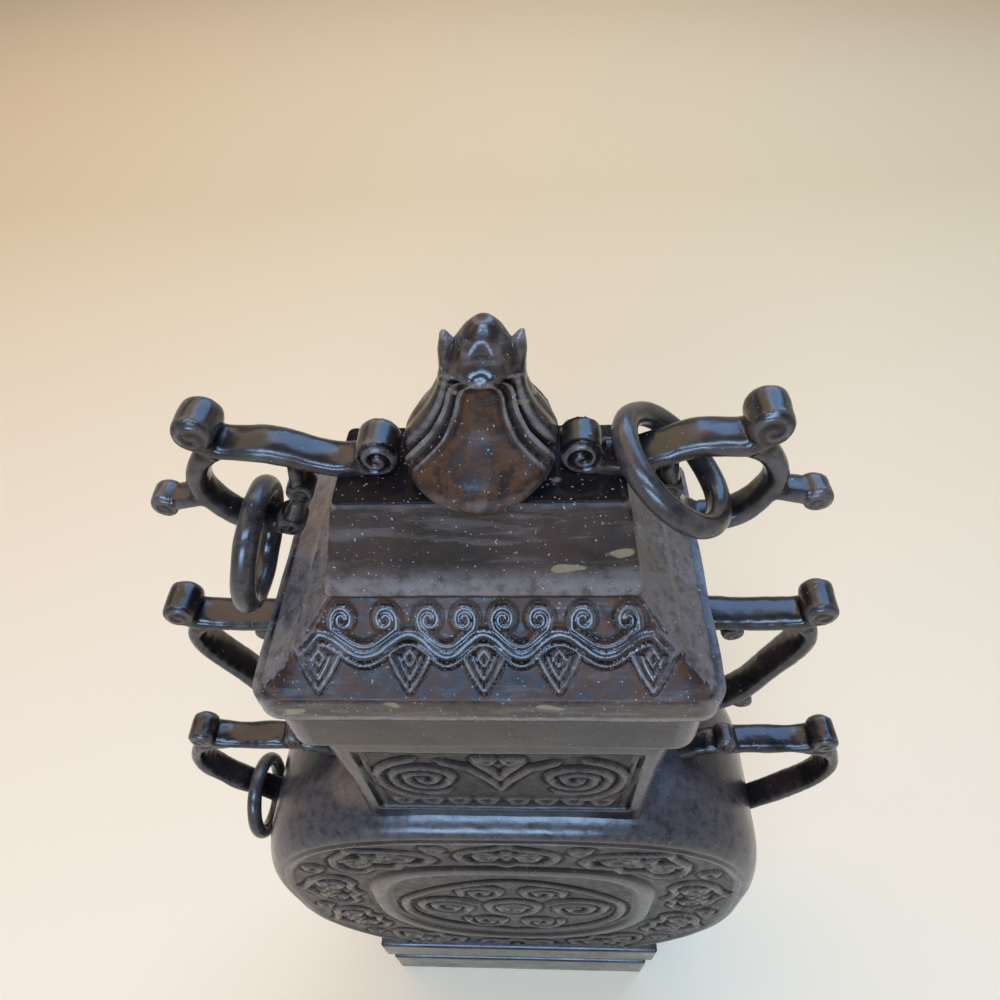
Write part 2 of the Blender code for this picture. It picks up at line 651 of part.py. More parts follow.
def neck_handles():
    reach, drop = NECK_HANDLE_REACH, NECK_HANDLE_DROP
    x, z = RIM_WIDTH / 2, RIM_BOTTOM
    pieces = [strap(placed(shares, x, z, reach, drop), STRAP_THICKNESS, STRAP_DEPTH, steps)
              for shares, steps in ((NECK_HANDLE_STRAP, 1), (NECK_HANDLE_ARM, SPAN_STEPS))]
    top = placed([NECK_HANDLE_ROLL], x, z, reach, drop)[0]
    pieces.append(roll(*top, ROLL_RADIUS, STRAP_DEPTH * ROLL_LENGTH))
    for place in placed(NECK_HANDLE_SMALL_ROLLS, x, z, reach, drop):
        pieces.append(roll(*place, SMALL_ROLL_RADIUS, STRAP_DEPTH * SMALL_ROLL_LENGTH))
    return both_sides(pieces)


def shoulder_handles():
    reach, drop = SHOULDER_HANDLE_REACH, SHOULDER_HANDLE_DROP
    x, z = BODY_WIDTH / 2, SHOULDER
    pieces = [strap(placed(shares, x, z, reach, drop), STRAP_THICKNESS, STRAP_DEPTH, steps)
              for shares, steps in ((SHOULDER_HANDLE_STRAP, 1), (SHOULDER_HANDLE_ARM, SPAN_STEPS))]
    big, small = placed([SHOULDER_HANDLE_ROLL, SHOULDER_HANDLE_SMALL_ROLL], x, z, reach, drop)
    pieces.append(roll(*big, ROLL_RADIUS, STRAP_DEPTH * ROLL_LENGTH))
    pieces.append(roll(*small, SMALL_ROLL_RADIUS, STRAP_DEPTH * SMALL_ROLL_LENGTH))
    return both_sides(pieces)


def cavity():
    """The hollow inside: a straight bore down the neck and a flat round chamber in the body."""
    wall = BODY_WALL
    half_depth = BODY_THICKNESS / 2 - BODY_RELIEF - wall

    def ring(inset, y):
        points = []
        for i in range(CHAMBER_SIDES):
            angle = math.tau * (i + 0.5) / CHAMBER_SIDES
            radius = outline_radius(angle, BODY_WIDTH / 2 - wall - inset, BODY_HEIGHT / 2 - wall - inset)
            points.append((radius * math.cos(angle), y, BODY_CENTRE + radius * math.sin(angle)))
        return points

    soft = BODY_EDGE
    chamber = loft("chamber", [ring(soft, -half_depth), ring(0, soft - half_depth),
                               ring(0, half_depth - soft), ring(soft, half_depth)])
    bore = loft("bore", [rounded_rectangle(MOUTH_WIDTH, MOUTH_DEPTH, NECK_CORNER, z)
                         for z in (SHOULDER - 3 * wall, RIM_TOP + wall)])
    return [bore, chamber]


def neck_panels():
    """Sunk panels on the front and back of the neck, the front one carved."""
    pockets, carvings = [], []
    panel_half = NECK_WIDTH / 2 - NECK_PANEL_MARGIN
    for front in (-1, 1):
        for is_pocket in (True, False):
            inset = 0.0 if is_pocket else SKIN_SINK

            def surface(s, t, height, front=front, inset=inset):
                share = NECK_PANEL_LOW + (NECK_PANEL_HIGH - NECK_PANEL_LOW) * t
                z = SHOULDER + share * NECK_HEIGHT + inset * (1 - 2 * t)
                x = (2 * s - 1) * (panel_half - inset)
                return (x, front * (neck_size(share)[1] / 2 + height), z)

            if is_pocket:
                pockets.append(carved_block("pocket", surface, 1, 4, -NECK_RELIEF, lambda s, t: BLOCK_SINK))
            elif front < 0:
                carvings.append(carved_block(
                    "carving", surface, 22, 8, -BLOCK_SINK,
                    lambda s, t: NECK_RELIEF * (PANEL_CARVING_HEIGHT * neck_relief(2 * s - 1, 2 * t - 1) - 1)
                    + SKIN_LIFT))
    return pockets, carvings


def make_vase(material):
    vase = body()
    combine(vase, foot() + [neck_and_rim()], "UNION")
    pockets, carvings = neck_panels()
    combine(vase, pockets, "DIFFERENCE")
    combine(vase, carvings, "UNION")
    combine(vase, neck_handles() + shoulder_handles(), "UNION")
    combine(vase, cavity(), "DIFFERENCE")
    vase.name = "vase"
    vase.data.materials.clear()
    vase.data.materials.append(material)
    return vase


def point_on(shares, share, origin_x, origin_z, reach, drop):
    """Place and direction at a share of a handle's centre line."""
    path = smooth_path(placed(shares, origin_x, origin_z, reach, drop))
    spot = share * (len(path) - 1)
    index = min(int(spot), len(path) - 2)
    (x0, z0), (x1, z1) = path[index], path[index + 1]
    part = spot - index
    run = math.hypot(x1 - x0, z1 - z0)
    place = Vector((x0 + (x1 - x0) * part, 0, z0 + (z1 - z0) * part))
    return place, Vector(((x1 - x0) / run, 0, (z1 - z0) / run))


def hang_height(half_depth, swing):
    """Height of a hanging ring's tube over a flat strap: the ring's inside clears the strap's far corner."""
    aside = RING_RADIUS * math.sin(math.radians(swing)) + half_depth
    inside = RING_RADIUS - RING_TUBE - RING_GAP
    return RING_RADIUS * math.cos(math.radians(swing)) - math.sqrt(max(0.0, inside ** 2 - aside ** 2))


def make_ring(name, crossing, inward, sideways, swing, material):
    """A loose ring through a handle. The tube's middle passes through the crossing; the ring's centre lies
    from there along inward, swung towards sideways by the swing in degrees."""
    centre = crossing + RING_RADIUS * (inward * math.cos(math.radians(swing))
                                       + sideways * math.sin(math.radians(swing)))
    u = (crossing - centre).normalized()
    normal = inward.cross(sideways).normalized()
    v = normal.cross(u)
    turns = [math.tau * (k + 0.5) / TUBE_SIDES for k in range(TUBE_SIDES)]
    tube = [(RING_RADIUS + RING_TUBE * math.cos(t), RING_TUBE * math.sin(t)) for t in turns]
    work = bmesh.new()
    loops = []
    for i in range(RING_STEPS):
        turn = math.tau * i / RING_STEPS
        out = u * math.cos(turn) + v * math.sin(turn)
        loops.append([work.verts.new(centre + out * reach + normal * aside) for reach, aside in tube])
    for i in range(RING_STEPS):
        low, high = loops[i], loops[(i + 1) % RING_STEPS]
        for k in range(TUBE_SIDES):
            j = (k + 1) % TUBE_SIDES
            work.faces.new((low[k], low[j], high[j], high[k]))
    ring = make_object(name, work)
    ring.data.materials.append(material)
    return ring


def make_rings(material):
    lift = STRAP_THICKNESS / 2 + RING_TUBE + RING_GAP
    front = Vector((0, -1, 0))
    spot, along = point_on(LID_LOOP_STRAP, RIGHT_RING_SHARE, 0, PLATEAU, LID_LOOP_REACH, LID_LOOP_REACH)
    tilt = math.radians(RIGHT_RING_TILT)
    inward = Vector((math.cos(tilt), 0, -math.sin(tilt)))
    through = along.x * math.sin(tilt) + along.z * math.cos(tilt)
    half_strap = STRAP_THICKNESS / 2 / through
    crossing = spot - inward * (half_strap + hang_height(LID_STRAP_DEPTH / 2, RIGHT_RING_SWING))
    make_ring("right_lid_ring", crossing, inward, front, RIGHT_RING_SWING, material)
    spot, along = point_on(LID_LOOP_ARM, LEFT_RING_SHARE, 0, PLATEAU, LID_LOOP_REACH, LID_LOOP_REACH)
    lean = math.radians(LEFT_RING_LEAN)
    hang = hang_height(LID_ARM_DEPTH / 2, LEFT_RING_SWING)
    crossing = Vector((-spot.x, 0, spot.z + STRAP_THICKNESS / 2 + hang))
    inward = Vector((-math.sin(lean), 0, -math.cos(lean)))
    make_ring("left_lid_ring", crossing, inward, front, LEFT_RING_SWING, material)
    spot, along = point_on(SHOULDER_HANDLE_ARM, SHOULDER_RING_SHARE, BODY_WIDTH / 2, SHOULDER,
                           SHOULDER_HANDLE_REACH, SHOULDER_HANDLE_DROP)
    crossing = spot + Vector((-along.z, 0, along.x)) * -lift
    crossing.z += hang_height(STRAP_DEPTH / 2, SHOULDER_RING_SWING) - RING_TUBE - RING_GAP
    crossing.x = -crossing.x
    make_ring("left_shoulder_ring", crossing, Vector((0, 0, -1)), front, SHOULDER_RING_SWING, material)


def shade(thing):
    thing.data.shade_smooth()
    thing.data.set_sharp_from_angle(angle=math.radians(35))


clear_scene()
dark_jade = stone("dark jade", (0.035, 0.024, 0.020), 0.32)
worn_jade = stone("worn jade", (0.045, 0.026, 0.019), 0.36)
ring_jade = stone("ring jade", (0.030, 0.022, 0.021), 0.30)
make_vase(dark_jade)
make_lid(worn_jade)
make_rings(ring_jade)
for built in bpy.context.scene.objects:
    shade(built)
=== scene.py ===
# %% [markdown]
# # A lidded jade vase
#
# The real object is a flat, round flask of nearly black jade, about 35 cm tall. It was carved in two main
# pieces, the vase and its hipped lid, and three loose rings hang in the handles. The construction model
# already gives every piece its true size and place. This lesson makes the surfaces that the eye meets:
# the carved bands, the polished ridges, the bud on the lid, the rolled straps, and the stone itself.

# %% Load the construction model
import bpy
import bmesh
import json
import math
import numpy as np
from mathutils import Matrix, Vector

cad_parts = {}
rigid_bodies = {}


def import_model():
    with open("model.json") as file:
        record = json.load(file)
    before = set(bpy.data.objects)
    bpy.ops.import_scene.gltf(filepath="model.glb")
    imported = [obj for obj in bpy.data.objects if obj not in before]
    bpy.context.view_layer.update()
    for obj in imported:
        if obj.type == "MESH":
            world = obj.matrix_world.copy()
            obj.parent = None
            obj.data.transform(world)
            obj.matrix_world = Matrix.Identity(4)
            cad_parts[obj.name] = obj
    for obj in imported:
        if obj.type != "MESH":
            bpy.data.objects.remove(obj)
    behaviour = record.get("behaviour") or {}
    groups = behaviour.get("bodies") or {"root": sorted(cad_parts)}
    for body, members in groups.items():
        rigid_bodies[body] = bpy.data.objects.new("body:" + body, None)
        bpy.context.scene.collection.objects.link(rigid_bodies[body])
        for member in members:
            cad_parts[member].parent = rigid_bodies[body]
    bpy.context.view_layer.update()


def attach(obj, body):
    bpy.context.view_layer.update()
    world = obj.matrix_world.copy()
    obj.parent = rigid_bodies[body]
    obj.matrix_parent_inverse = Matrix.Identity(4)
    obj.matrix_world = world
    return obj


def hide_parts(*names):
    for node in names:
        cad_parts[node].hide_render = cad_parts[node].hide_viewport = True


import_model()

# %% [markdown]
# The sizes below repeat the driving sizes of the construction model, in metres. Everything that is carved
# here is placed from them, so that a fine piece never leaves the plain solid that it stands for.

# %% Sizes of the vase
EAVE_WIDTH, EAVE_DEPTH, EAVE_BAND, EAVE_CORNER = 0.0960, 0.0676, 0.0088, 0.0050
SLOPE_HEIGHT, SLOPE_SAG = 0.0146, 0.0011
BLOCK_WIDTH, BLOCK_DEPTH, BLOCK_HEIGHT, BLOCK_STEP = 0.0628, 0.0380, 0.0190, 0.0010
PLATEAU_WIDTH, PLATEAU_DEPTH = 0.0538, 0.0196
EDGE_ROUND = 0.0014
LID_WALL, LID_SEAT_GAP, FLANGE_DROP, FLANGE_WALL, FLANGE_CLEARANCE = 0.0060, 0.0003, 0.0060, 0.0045, 0.0008
RIM_WIDTH, RIM_DEPTH, RIM_HEIGHT, RIM_CORNER = 0.0920, 0.0648, 0.0164, 0.0055
NECK_TOP_WIDTH, NECK_TOP_DEPTH = 0.0868, 0.0550
NECK_WIDTH, NECK_DEPTH, NECK_HEIGHT, NECK_CORNER, NECK_WALL = 0.0830, 0.0500, 0.0648, 0.0030, 0.0065
NECK_PANEL_MARGIN, NECK_PANEL_LOW, NECK_PANEL_HIGH = 0.0048, 0.07, 0.74
BODY_WIDTH, BODY_HEIGHT, BODY_THICKNESS = 0.1750, 0.1730, 0.0636
BODY_EDGE, BODY_SIDE_FLAT, BODY_WALL = 0.0062, 0.0300, 0.0070
SHOULDER_SQUARENESS, BELLY_SQUARENESS = 3.3, 2.25
FOOT_STEP_WIDTH, FOOT_STEP_DEPTH, FOOT_STEP_HEIGHT, FOOT_TAPER = 0.1240, 0.0660, 0.0215, 0.0050
FOOT_WIDTH, FOOT_DEPTH, FOOT_HEIGHT = 0.1180, 0.0672, 0.0235
STRAP_DEPTH, STRAP_THICKNESS, STEM_THICKNESS = 0.0092, 0.0045, 0.0034
LID_STRAP_DEPTH, LID_ARM_DEPTH = 0.0086, 0.0068
ROLL_RADIUS, SMALL_ROLL_RADIUS = 0.0041, 0.0029
FINIAL_HEIGHT, FINIAL_RADIUS, FINIAL_LEAN = 0.0325, 0.0144, 0.0024
LID_RELIEF, NECK_RELIEF, BODY_RELIEF = 0.0008, 0.0011, 0.0012

# %% Levels, from the foot up
BODY_CENTRE = FOOT_HEIGHT + BODY_HEIGHT / 2
SHOULDER = FOOT_HEIGHT + BODY_HEIGHT
RIM_BOTTOM = SHOULDER + NECK_HEIGHT
RIM_TOP = RIM_BOTTOM + RIM_HEIGHT
LID_BOTTOM = RIM_TOP + LID_SEAT_GAP
EAVE_TOP = LID_BOTTOM + EAVE_BAND
BLOCK_BOTTOM = EAVE_TOP + SLOPE_HEIGHT
PLATEAU = BLOCK_BOTTOM + BLOCK_HEIGHT
MOUTH_WIDTH = NECK_WIDTH - 2 * NECK_WALL
MOUTH_DEPTH = NECK_DEPTH - 2 * NECK_WALL
SLOPE_RUN = math.hypot((EAVE_DEPTH - BLOCK_DEPTH) / 2, SLOPE_HEIGHT)
print("shoulder, rim and plateau at", round(SHOULDER, 4), round(RIM_TOP, 4), round(PLATEAU, 4))

# %% [markdown]
# ## The camera
#
# The vase is seen from in front and well above, from so close that the foot looks small under the lid.
# Such a strong perspective comes from the distance and not from the lens, so the place of the camera was
# worked out first, from the eave's four corners, and the lens afterwards.

# %% Camera
CAMERA_PLACE = Vector((0.0109, -0.0984, PLATEAU + 0.0984))
CAMERA_DOWN, CAMERA_TURN, CAMERA_ROLL = math.radians(48.01), math.radians(-4.48), math.radians(3.9)
CAMERA_LENS = 25.92


def add_camera():
    level, drop = math.cos(CAMERA_DOWN), math.sin(CAMERA_DOWN)
    forward = Vector((math.sin(CAMERA_TURN) * level, math.cos(CAMERA_TURN) * level, -drop))
    right = Vector((math.cos(CAMERA_TURN), -math.sin(CAMERA_TURN), 0))
    down = forward.cross(right)
    rolled_right = math.cos(CAMERA_ROLL) * right + math.sin(CAMERA_ROLL) * down
    rolled_down = math.cos(CAMERA_ROLL) * down - math.sin(CAMERA_ROLL) * right
    place = Matrix((rolled_right, -rolled_down, -forward)).transposed().to_4x4()
    place.translation = CAMERA_PLACE
    bpy.ops.object.camera_add()
    camera = bpy.context.object
    camera.name = "camera"
    camera.matrix_world = place
    camera.data.lens = CAMERA_LENS
    camera.data.sensor_width = 36
    camera.data.clip_start = 0.001
    bpy.context.scene.camera = camera
    return camera


camera = add_camera()
print("camera stands at", [round(value, 3) for value in camera.location])

# %% [markdown]
# ## The floor and the light
#
# Polished dark stone shows little colour of its own: what shapes it is the reflection of the room. In the
# picture a cool window in front paints blue-white streaks on every edge that leans forwards, and a soft
# warm ceiling gives the upper faces a grey-brown sheen. Four area lights do the same, in a room that is
# warm and pale at eye level and dark overhead. The floor has three tones from front to back, chosen so
# that the lit floor is as pale as the picture's.

# %% Floor
FLOOR_SIZE = 6.0
FLOOR_START, FLOOR_END = -0.1, 2.0
# The tones are partly the floor's warm colour and partly painted light: the far end is paler to make up for
# the lamps' light falling off with distance.
FLOOR_TONES = [(0.0, (0.81, 0.61, 0.41, 1.0)), (0.43, (0.71, 0.51, 0.28, 1.0)),
               (1.0, (0.98, 0.74, 0.44, 1.0))]
FLOOR_ROUGHNESS, FLOOR_SHEEN = 0.9, 0.1


def deselect():
    if bpy.context.mode != "OBJECT":
        bpy.ops.object.mode_set(mode="OBJECT")
    bpy.ops.object.select_all(action="DESELECT")


def set_stops(ramp, stops):
    while len(ramp.color_ramp.elements) < len(stops):
        ramp.color_ramp.elements.new(0.5)
    for element, (place, colour) in zip(ramp.color_ramp.elements, stops):
        element.position = place
        element.color = colour


def add_floor():
    deselect()
    bpy.ops.mesh.primitive_plane_add(size=FLOOR_SIZE, location=(0, 0, 0))
    floor = bpy.context.object
    floor.name = "floor"
    material = bpy.data.materials.new("pale floor")
    material.use_nodes = True
    nodes, links = material.node_tree.nodes, material.node_tree.links
    shader = nodes["Principled BSDF"]
    shader.inputs["Roughness"].default_value = FLOOR_ROUGHNESS
    shader.inputs["Specular IOR Level"].default_value = FLOOR_SHEEN
    place = nodes.new("ShaderNodeTexCoord")
    split = nodes.new("ShaderNodeSeparateXYZ")
    links.new(place.outputs["Object"], split.inputs[0])
    reach = nodes.new("ShaderNodeMapRange")
    reach.inputs["From Min"].default_value = FLOOR_START
    reach.inputs["From Max"].default_value = FLOOR_END
    links.new(split.outputs["Y"], reach.inputs["Value"])
    tones = nodes.new("ShaderNodeValToRGB")
    set_stops(tones, FLOOR_TONES)
    links.new(reach.outputs["Result"], tones.inputs["Fac"])
    links.new(tones.outputs["Color"], shader.inputs["Base Color"])
    floor.data.materials.append(material)
    return floor


floor = add_floor()
print("floor is", FLOOR_SIZE, "m wide")

# %% Lights
ROOM_COLOURS = [(0.0, (0.78, 0.70, 0.60, 1.0)), (0.15, (0.55, 0.52, 0.50, 1.0)),
                (0.40, (0.18, 0.18, 0.20, 1.0)), (1.0, (0.12, 0.15, 0.22, 1.0))]
WINDOW_COLOUR = (0.42, 0.65, 1.0)
SKY_COLOUR = (0.30, 0.56, 1.0)
CEILING_COLOUR = (1.0, 0.72, 0.44)
# Each light has a name, a place, an aim, a width, a height, a power in watts and a colour.
LIGHTS = [("window", (-0.20, -1.40, 1.05), (0, 0, 0.28), 0.9, 0.38, 22.0, WINDOW_COLOUR),
          ("skylight", (0.0, -0.60, 1.60), (0, 0, 0.25), 1.2, 0.30, 22.0, WINDOW_COLOUR),
          ("sky", (0.50, 0.95, 1.35), (0, 0, 0.25), 1.3, 0.9, 20.0, SKY_COLOUR),
          ("ceiling", (-0.75, 0.75, 1.85), (0, 0, 0.1), 2.2, 1.8, 24.0, CEILING_COLOUR)]


def add_area_light(name, place, aim, width, height, power, colour):
    bpy.ops.object.light_add(type="AREA", location=place)
    light = bpy.context.object
    light.name = name
    light.data.shape = "RECTANGLE"
    light.data.size = width
    light.data.size_y = height
    light.data.energy = power
    light.data.color = colour
    light.rotation_euler = (Vector(aim) - Vector(place)).to_track_quat("-Z", "Y").to_euler()
    return light


def add_world():
    world = bpy.data.worlds.new("soft room")
    bpy.context.scene.world = world
    world.use_nodes = True
    nodes, links = world.node_tree.nodes, world.node_tree.links
    direction = nodes.new("ShaderNodeTexCoord")
    split = nodes.new("ShaderNodeSeparateXYZ")
    links.new(direction.outputs["Generated"], split.inputs[0])
    ramp = nodes.new("ShaderNodeValToRGB")
    links.new(split.outputs["Z"], ramp.inputs["Fac"])
    set_stops(ramp, ROOM_COLOURS)
    links.new(ramp.outputs["Color"], nodes["Background"].inputs["Color"])


add_world()
for light_values in LIGHTS:
    add_area_light(*light_values)
bpy.context.scene.view_settings.view_transform = "Standard"

# %% [markdown]
# ## Tools for a carver
#
# A carved surface is a fine sheet of small faces wrapped round the form and then pressed up or down. The
# sheet starts as a grid primitive. Numpy moves its points all at once, which takes a fraction of a second
# where a loop in Python would take minutes. Where the wrapped sheet meets itself, its doubles are merged,
# so that the seam and the poles are closed.

# %% A wrapped sheet
MERGE_DISTANCE = 0.000002


def mesh_points(thing):
    points = np.empty(len(thing.data.vertices) * 3)
    thing.data.vertices.foreach_get("co", points)
    return points.reshape(-1, 3)


def set_points(thing, points):
    thing.data.vertices.foreach_set("co", np.ascontiguousarray(points, dtype=np.float32).ravel())
    thing.data.update()


def close_up(thing, distance=MERGE_DISTANCE):
    """Merge what lies on one spot and turn all faces outwards."""
    deselect()
    thing.select_set(True)
    bpy.context.view_layer.objects.active = thing
    bpy.ops.object.mode_set(mode="EDIT")
    bpy.ops.mesh.select_all(action="SELECT")
    bpy.ops.mesh.remove_doubles(threshold=distance)
    bpy.ops.mesh.normals_make_consistent(inside=False)
    bpy.ops.object.mode_set(mode="OBJECT")


def wrapped_sheet(name, columns, rows, surface):
    """A grid laid over surface(s, t), where s runs round the form and t from one pole to the other."""
    deselect()
    bpy.ops.mesh.primitive_grid_add(x_subdivisions=columns, y_subdivisions=rows, size=1)
    sheet = bpy.context.object
    sheet.name = name
    flat = mesh_points(sheet)
    s = np.round((flat[:, 0] + 0.5) * columns) / columns
    t = np.round((flat[:, 1] + 0.5) * rows) / rows
    set_points(sheet, surface(s % 1.0, t))
    close_up(sheet)
    return sheet


def is_closed(thing):
    work = bmesh.new()
    work.from_mesh(thing.data)
    open_edges = sum(1 for edge in work.edges if not edge.is_manifold)
    volume = work.calc_volume(signed=True)
    work.free()
    return open_edges == 0 and volume > 0


def report(thing):
    thing.data.calc_loop_triangles()
    print(thing.name, "has", len(thing.data.loop_triangles), "triangles, closed:", is_closed(thing))


# %% [markdown]
# Carving follows lines: spirals, waves and leaves. A carver draws them on the stone, keeps the line and
# cuts the ground beside it. Here each line is a short list of points, and the height of the stone depends
# on how far a point lies from the nearest line: a round back on the line, a narrow groove on each side.

# %% Lines and their height
def line_distance(points, path):
    """Distance from each point to an open line."""
    path = np.asarray(path, dtype=float)
    best = np.full(len(points), 1.0)
    for start, end in zip(path, path[1:]):
        run = end - start
        along = np.clip(((points - start) @ run) / max(run @ run, 1e-18), 0, 1)
        best = np.minimum(best, np.linalg.norm(points - start - along[:, None] * run, axis=1))
    return best


def nearest_line(points, paths):
    best = np.full(len(points), 1.0)
    for path in paths:
        best = np.minimum(best, line_distance(points, path))
    return best


def soft_back(distance, half_width):
    """A lower, softer back with no steep sides, for worn carving."""
    return np.where(distance < half_width, 0.5 + 0.5 * np.cos(np.pi * np.abs(distance) / half_width), 0.0)


def round_back(distance, half_width):
    """1 on the line, falling to 0 at half its width, like the back of a half-round moulding."""
    return np.sqrt(np.clip(1 - (distance / half_width) ** 2, 0, 1))


def groove_beside(distance, half_width):
    """1 just outside the line, where the graver ran."""
    return np.exp(-((distance / half_width - 1.45) / 0.42) ** 2)


def spiral(centre, outer, inner, turns, start_angle, direction=1, steps=14):
    """Points of a spiral that winds inwards, from the outer radius to the inner one."""
    count = int(turns * steps)
    points = []
    for i in range(count + 1):
        part = i / count
        radius = outer + (inner - outer) * part
        angle = start_angle + direction * part * turns * math.tau
        points.append((centre[0] + radius * math.cos(angle), centre[1] + radius * math.sin(angle)))
    return points


def spline(p, q, r, s, t):
    """A smooth curve from q to r as t goes from 0 to 1, which also heeds the points before and after."""
    return 0.5 * (2 * q + (r - p) * t + (2 * p - 5 * q + 4 * r - s) * t * t
                  + (3 * q - p - 3 * r + s) * t ** 3)


def smooth_path(points, steps):
    """A smooth line through the points, with equal steps in each span."""
    padded = [points[0]] + list(points) + [points[-1]]
    path = []
    for a, b, c, d in zip(padded, padded[1:], padded[2:], padded[3:]):
        for step in range(steps):
            t = step / steps
            path.append(tuple(spline(p, q, r, s, t) for p, q, r, s in zip(a, b, c, d)))
    path.append(tuple(points[-1]))
    return path


print("a spiral of 1.5 turns has", len(spiral((0, 0), 0.002, 0.0005, 1.5, 0)), "points")

# %% [markdown]
# ## Where the stone is worn, where it is hollow
#
# Hands polish what stands out, and what lies deep gets painted shade. Both can be read from the shape: a
# point that stands out from the middle of its neighbours is on a ridge, and one that lies below it is in
# a groove. Each piece stores this as two attributes, which the materials read later. A third attribute,
# the ground, is stored where the carver left the stone rough.

# %% Ridge and hollow attributes
def store(thing, name, values):
    layer = thing.data.attributes.new(name=name, type="FLOAT", domain="POINT")
    layer.data.foreach_set("value", np.ascontiguousarray(values, dtype=np.float32))


def neighbour_mean(values, edges, count):
    total = np.zeros((len(values),) + values.shape[1:])
    np.add.at(total, edges[:, 0], values[edges[:, 1]])
    np.add.at(total, edges[:, 1], values[edges[:, 0]])
    return total / (count if values.ndim == 1 else count[:, None])


def mark_wear(thing, reach, passes):
    """Store ridge and hollow, from 0 to 1; reach is the offset in metres that counts as full."""
    mesh = thing.data
    edges = np.empty(len(mesh.edges) * 2, dtype=np.int64)
    mesh.edges.foreach_get("vertices", edges)
    edges = edges.reshape(-1, 2)
    count = np.maximum(np.bincount(edges.ravel(), minlength=len(mesh.vertices)), 1).astype(float)
    points = mesh_points(thing)
    normals = np.empty(len(mesh.vertices) * 3)
    mesh.vertices.foreach_get("normal", normals)
    normals = normals.reshape(-1, 3)
    smooth = points.copy()
    for _ in range(passes):
        smooth = neighbour_mean(smooth, edges, count)
    height = np.einsum("ij,ij->i", points - smooth, normals) / reach
    for _ in range(2):
        height = neighbour_mean(height, edges, count)
    store(thing, "ridge", np.clip(height, 0, 1))
    store(thing, "hollow", np.clip(-height, 0, 1))


def raise_mark(thing, name, values, kept=1.0):
    """Raise a stored attribute, for old wear and dirt that the shape alone doesn't show, and for painted
    highlight, sheen and shade.

    kept is the share of the old value that stays."""
    layer = thing.data.attributes[name]
    old = np.empty(len(values), dtype=np.float32)
    layer.data.foreach_get("value", old)
    layer.data.foreach_set("value", np.maximum(old * kept, values).astype(np.float32))


def unevenness(points, size, depth, seed):
    """Soft hand-made waves: three crossing sine fields, so that no surface is machine-flat."""
    draw = np.random.default_rng(seed)
    total = np.zeros(len(points))
    for _ in range(6):
        direction = draw.normal(size=3)
        direction *= math.tau / size / np.linalg.norm(direction) * draw.uniform(0.7, 1.4)
        total += np.sin(points @ direction + draw.uniform(0, math.tau))
    return total * depth / 6


def vertex_normals(thing):
    normals = np.empty(len(thing.data.vertices) * 3)
    thing.data.vertices.foreach_get("normal", normals)
    return normals.reshape(-1, 3)


def wear_surface(thing, size, depth, seed):
    points = mesh_points(thing)
    set_points(thing, points + vertex_normals(thing) * unevenness(points, size, depth, seed)[:, None])


def finish_piece(thing, body, material, replaces, angle=40):
    deselect()
    thing.select_set(True)
    bpy.context.view_layer.objects.active = thing
    bpy.ops.object.shade_smooth_by_angle(angle=math.radians(angle))
    thing.data.materials.clear()
    thing.data.materials.append(material)
    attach(thing, body)
    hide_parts(replaces)
    report(thing)


# %% [markdown]
# ## The stone
#
# The jade is almost black, with a brown cast where the light gets into it. Its polish is greasy and deep,
# so the shader has a low roughness, a modest index and a faint coat. Old handling has left things on top:
# pale wear on edges, russet earth in the carved ground, and white specks of dust. Painted light is laid
# on as well: painted shade, near black, in the hollows and on the plateau under the bud, and on the lid a
# painted highlight low on the block and painted sheen on the slope's side faces, in the pale wear colour.
# They are layers of one material, and every layer is a noise on Object coordinates or one of the
# attributes, so nothing slides or turns.

# %% Node helpers
class Nodes:
    """A short way to write a node tree."""

    def __init__(self, name):
        self.material = bpy.data.materials.new(name)
        self.material.use_nodes = True
        self.tree = self.material.node_tree
        self.shader = self.tree.nodes["Principled BSDF"]
        self.place = self.tree.nodes.new("ShaderNodeTexCoord").outputs["Object"]

    def link(self, source, target):
        self.tree.links.new(source, target)

    def attribute(self, name):
        node = self.tree.nodes.new("ShaderNodeAttribute")
        node.attribute_name = name
        return node.outputs["Fac"]

    def noise(self, scale, detail=4.0, rough=0.55, stretch=(1, 1, 1), shift=(0, 0, 0)):
        mapping = self.tree.nodes.new("ShaderNodeMapping")
        mapping.inputs["Scale"].default_value = stretch
        mapping.inputs["Location"].default_value = shift
        self.link(self.place, mapping.inputs["Vector"])
        node = self.tree.nodes.new("ShaderNodeTexNoise")
        node.inputs["Scale"].default_value = scale
        node.inputs["Detail"].default_value = detail
        node.inputs["Roughness"].default_value = rough
        self.link(mapping.outputs["Vector"], node.inputs["Vector"])
        return node.outputs["Fac"]

    def remap(self, source, low, high, to_low=0.0, to_high=1.0):
        node = self.tree.nodes.new("ShaderNodeMapRange")
        node.interpolation_type = "SMOOTHSTEP"
        for key, value in (("From Min", low), ("From Max", high), ("To Min", to_low), ("To Max", to_high)):
            node.inputs[key].default_value = value
        self.link(source, node.inputs["Value"])
        return node.outputs["Result"]

    def math(self, operation, first, second):
        node = self.tree.nodes.new("ShaderNodeMath")
        node.operation = operation
        node.use_clamp = operation in ("ADD", "SUBTRACT", "MULTIPLY")
        for socket, value in zip(node.inputs, (first, second)):
            if isinstance(value, (int, float)):
                socket.default_value = value
            else:
                self.link(value, socket)
        return node.outputs["Value"]

    def layer(self, below, colour, amount):
        """Paint a colour over what is below, by an amount from 0 to 1."""
        node = self.tree.nodes.new("ShaderNodeMix")
        node.data_type = "RGBA"
        for key, value in (("A", below), ("B", colour)):
            if isinstance(value, tuple):
                node.inputs[key].default_value = (*value, 1.0)
            else:
                self.link(value, node.inputs[key])
        self.link(amount, node.inputs["Factor"])
        return node.outputs["Result"]

    def height(self, source, distance, strength, onto=None):
        node = self.tree.nodes.new("ShaderNodeBump")
        node.inputs["Distance"].default_value = distance
        node.inputs["Strength"].default_value = strength
        self.link(source, node.inputs["Height"])
        if onto is not None:
            self.link(onto, node.inputs["Normal"])
        return node.outputs["Normal"]


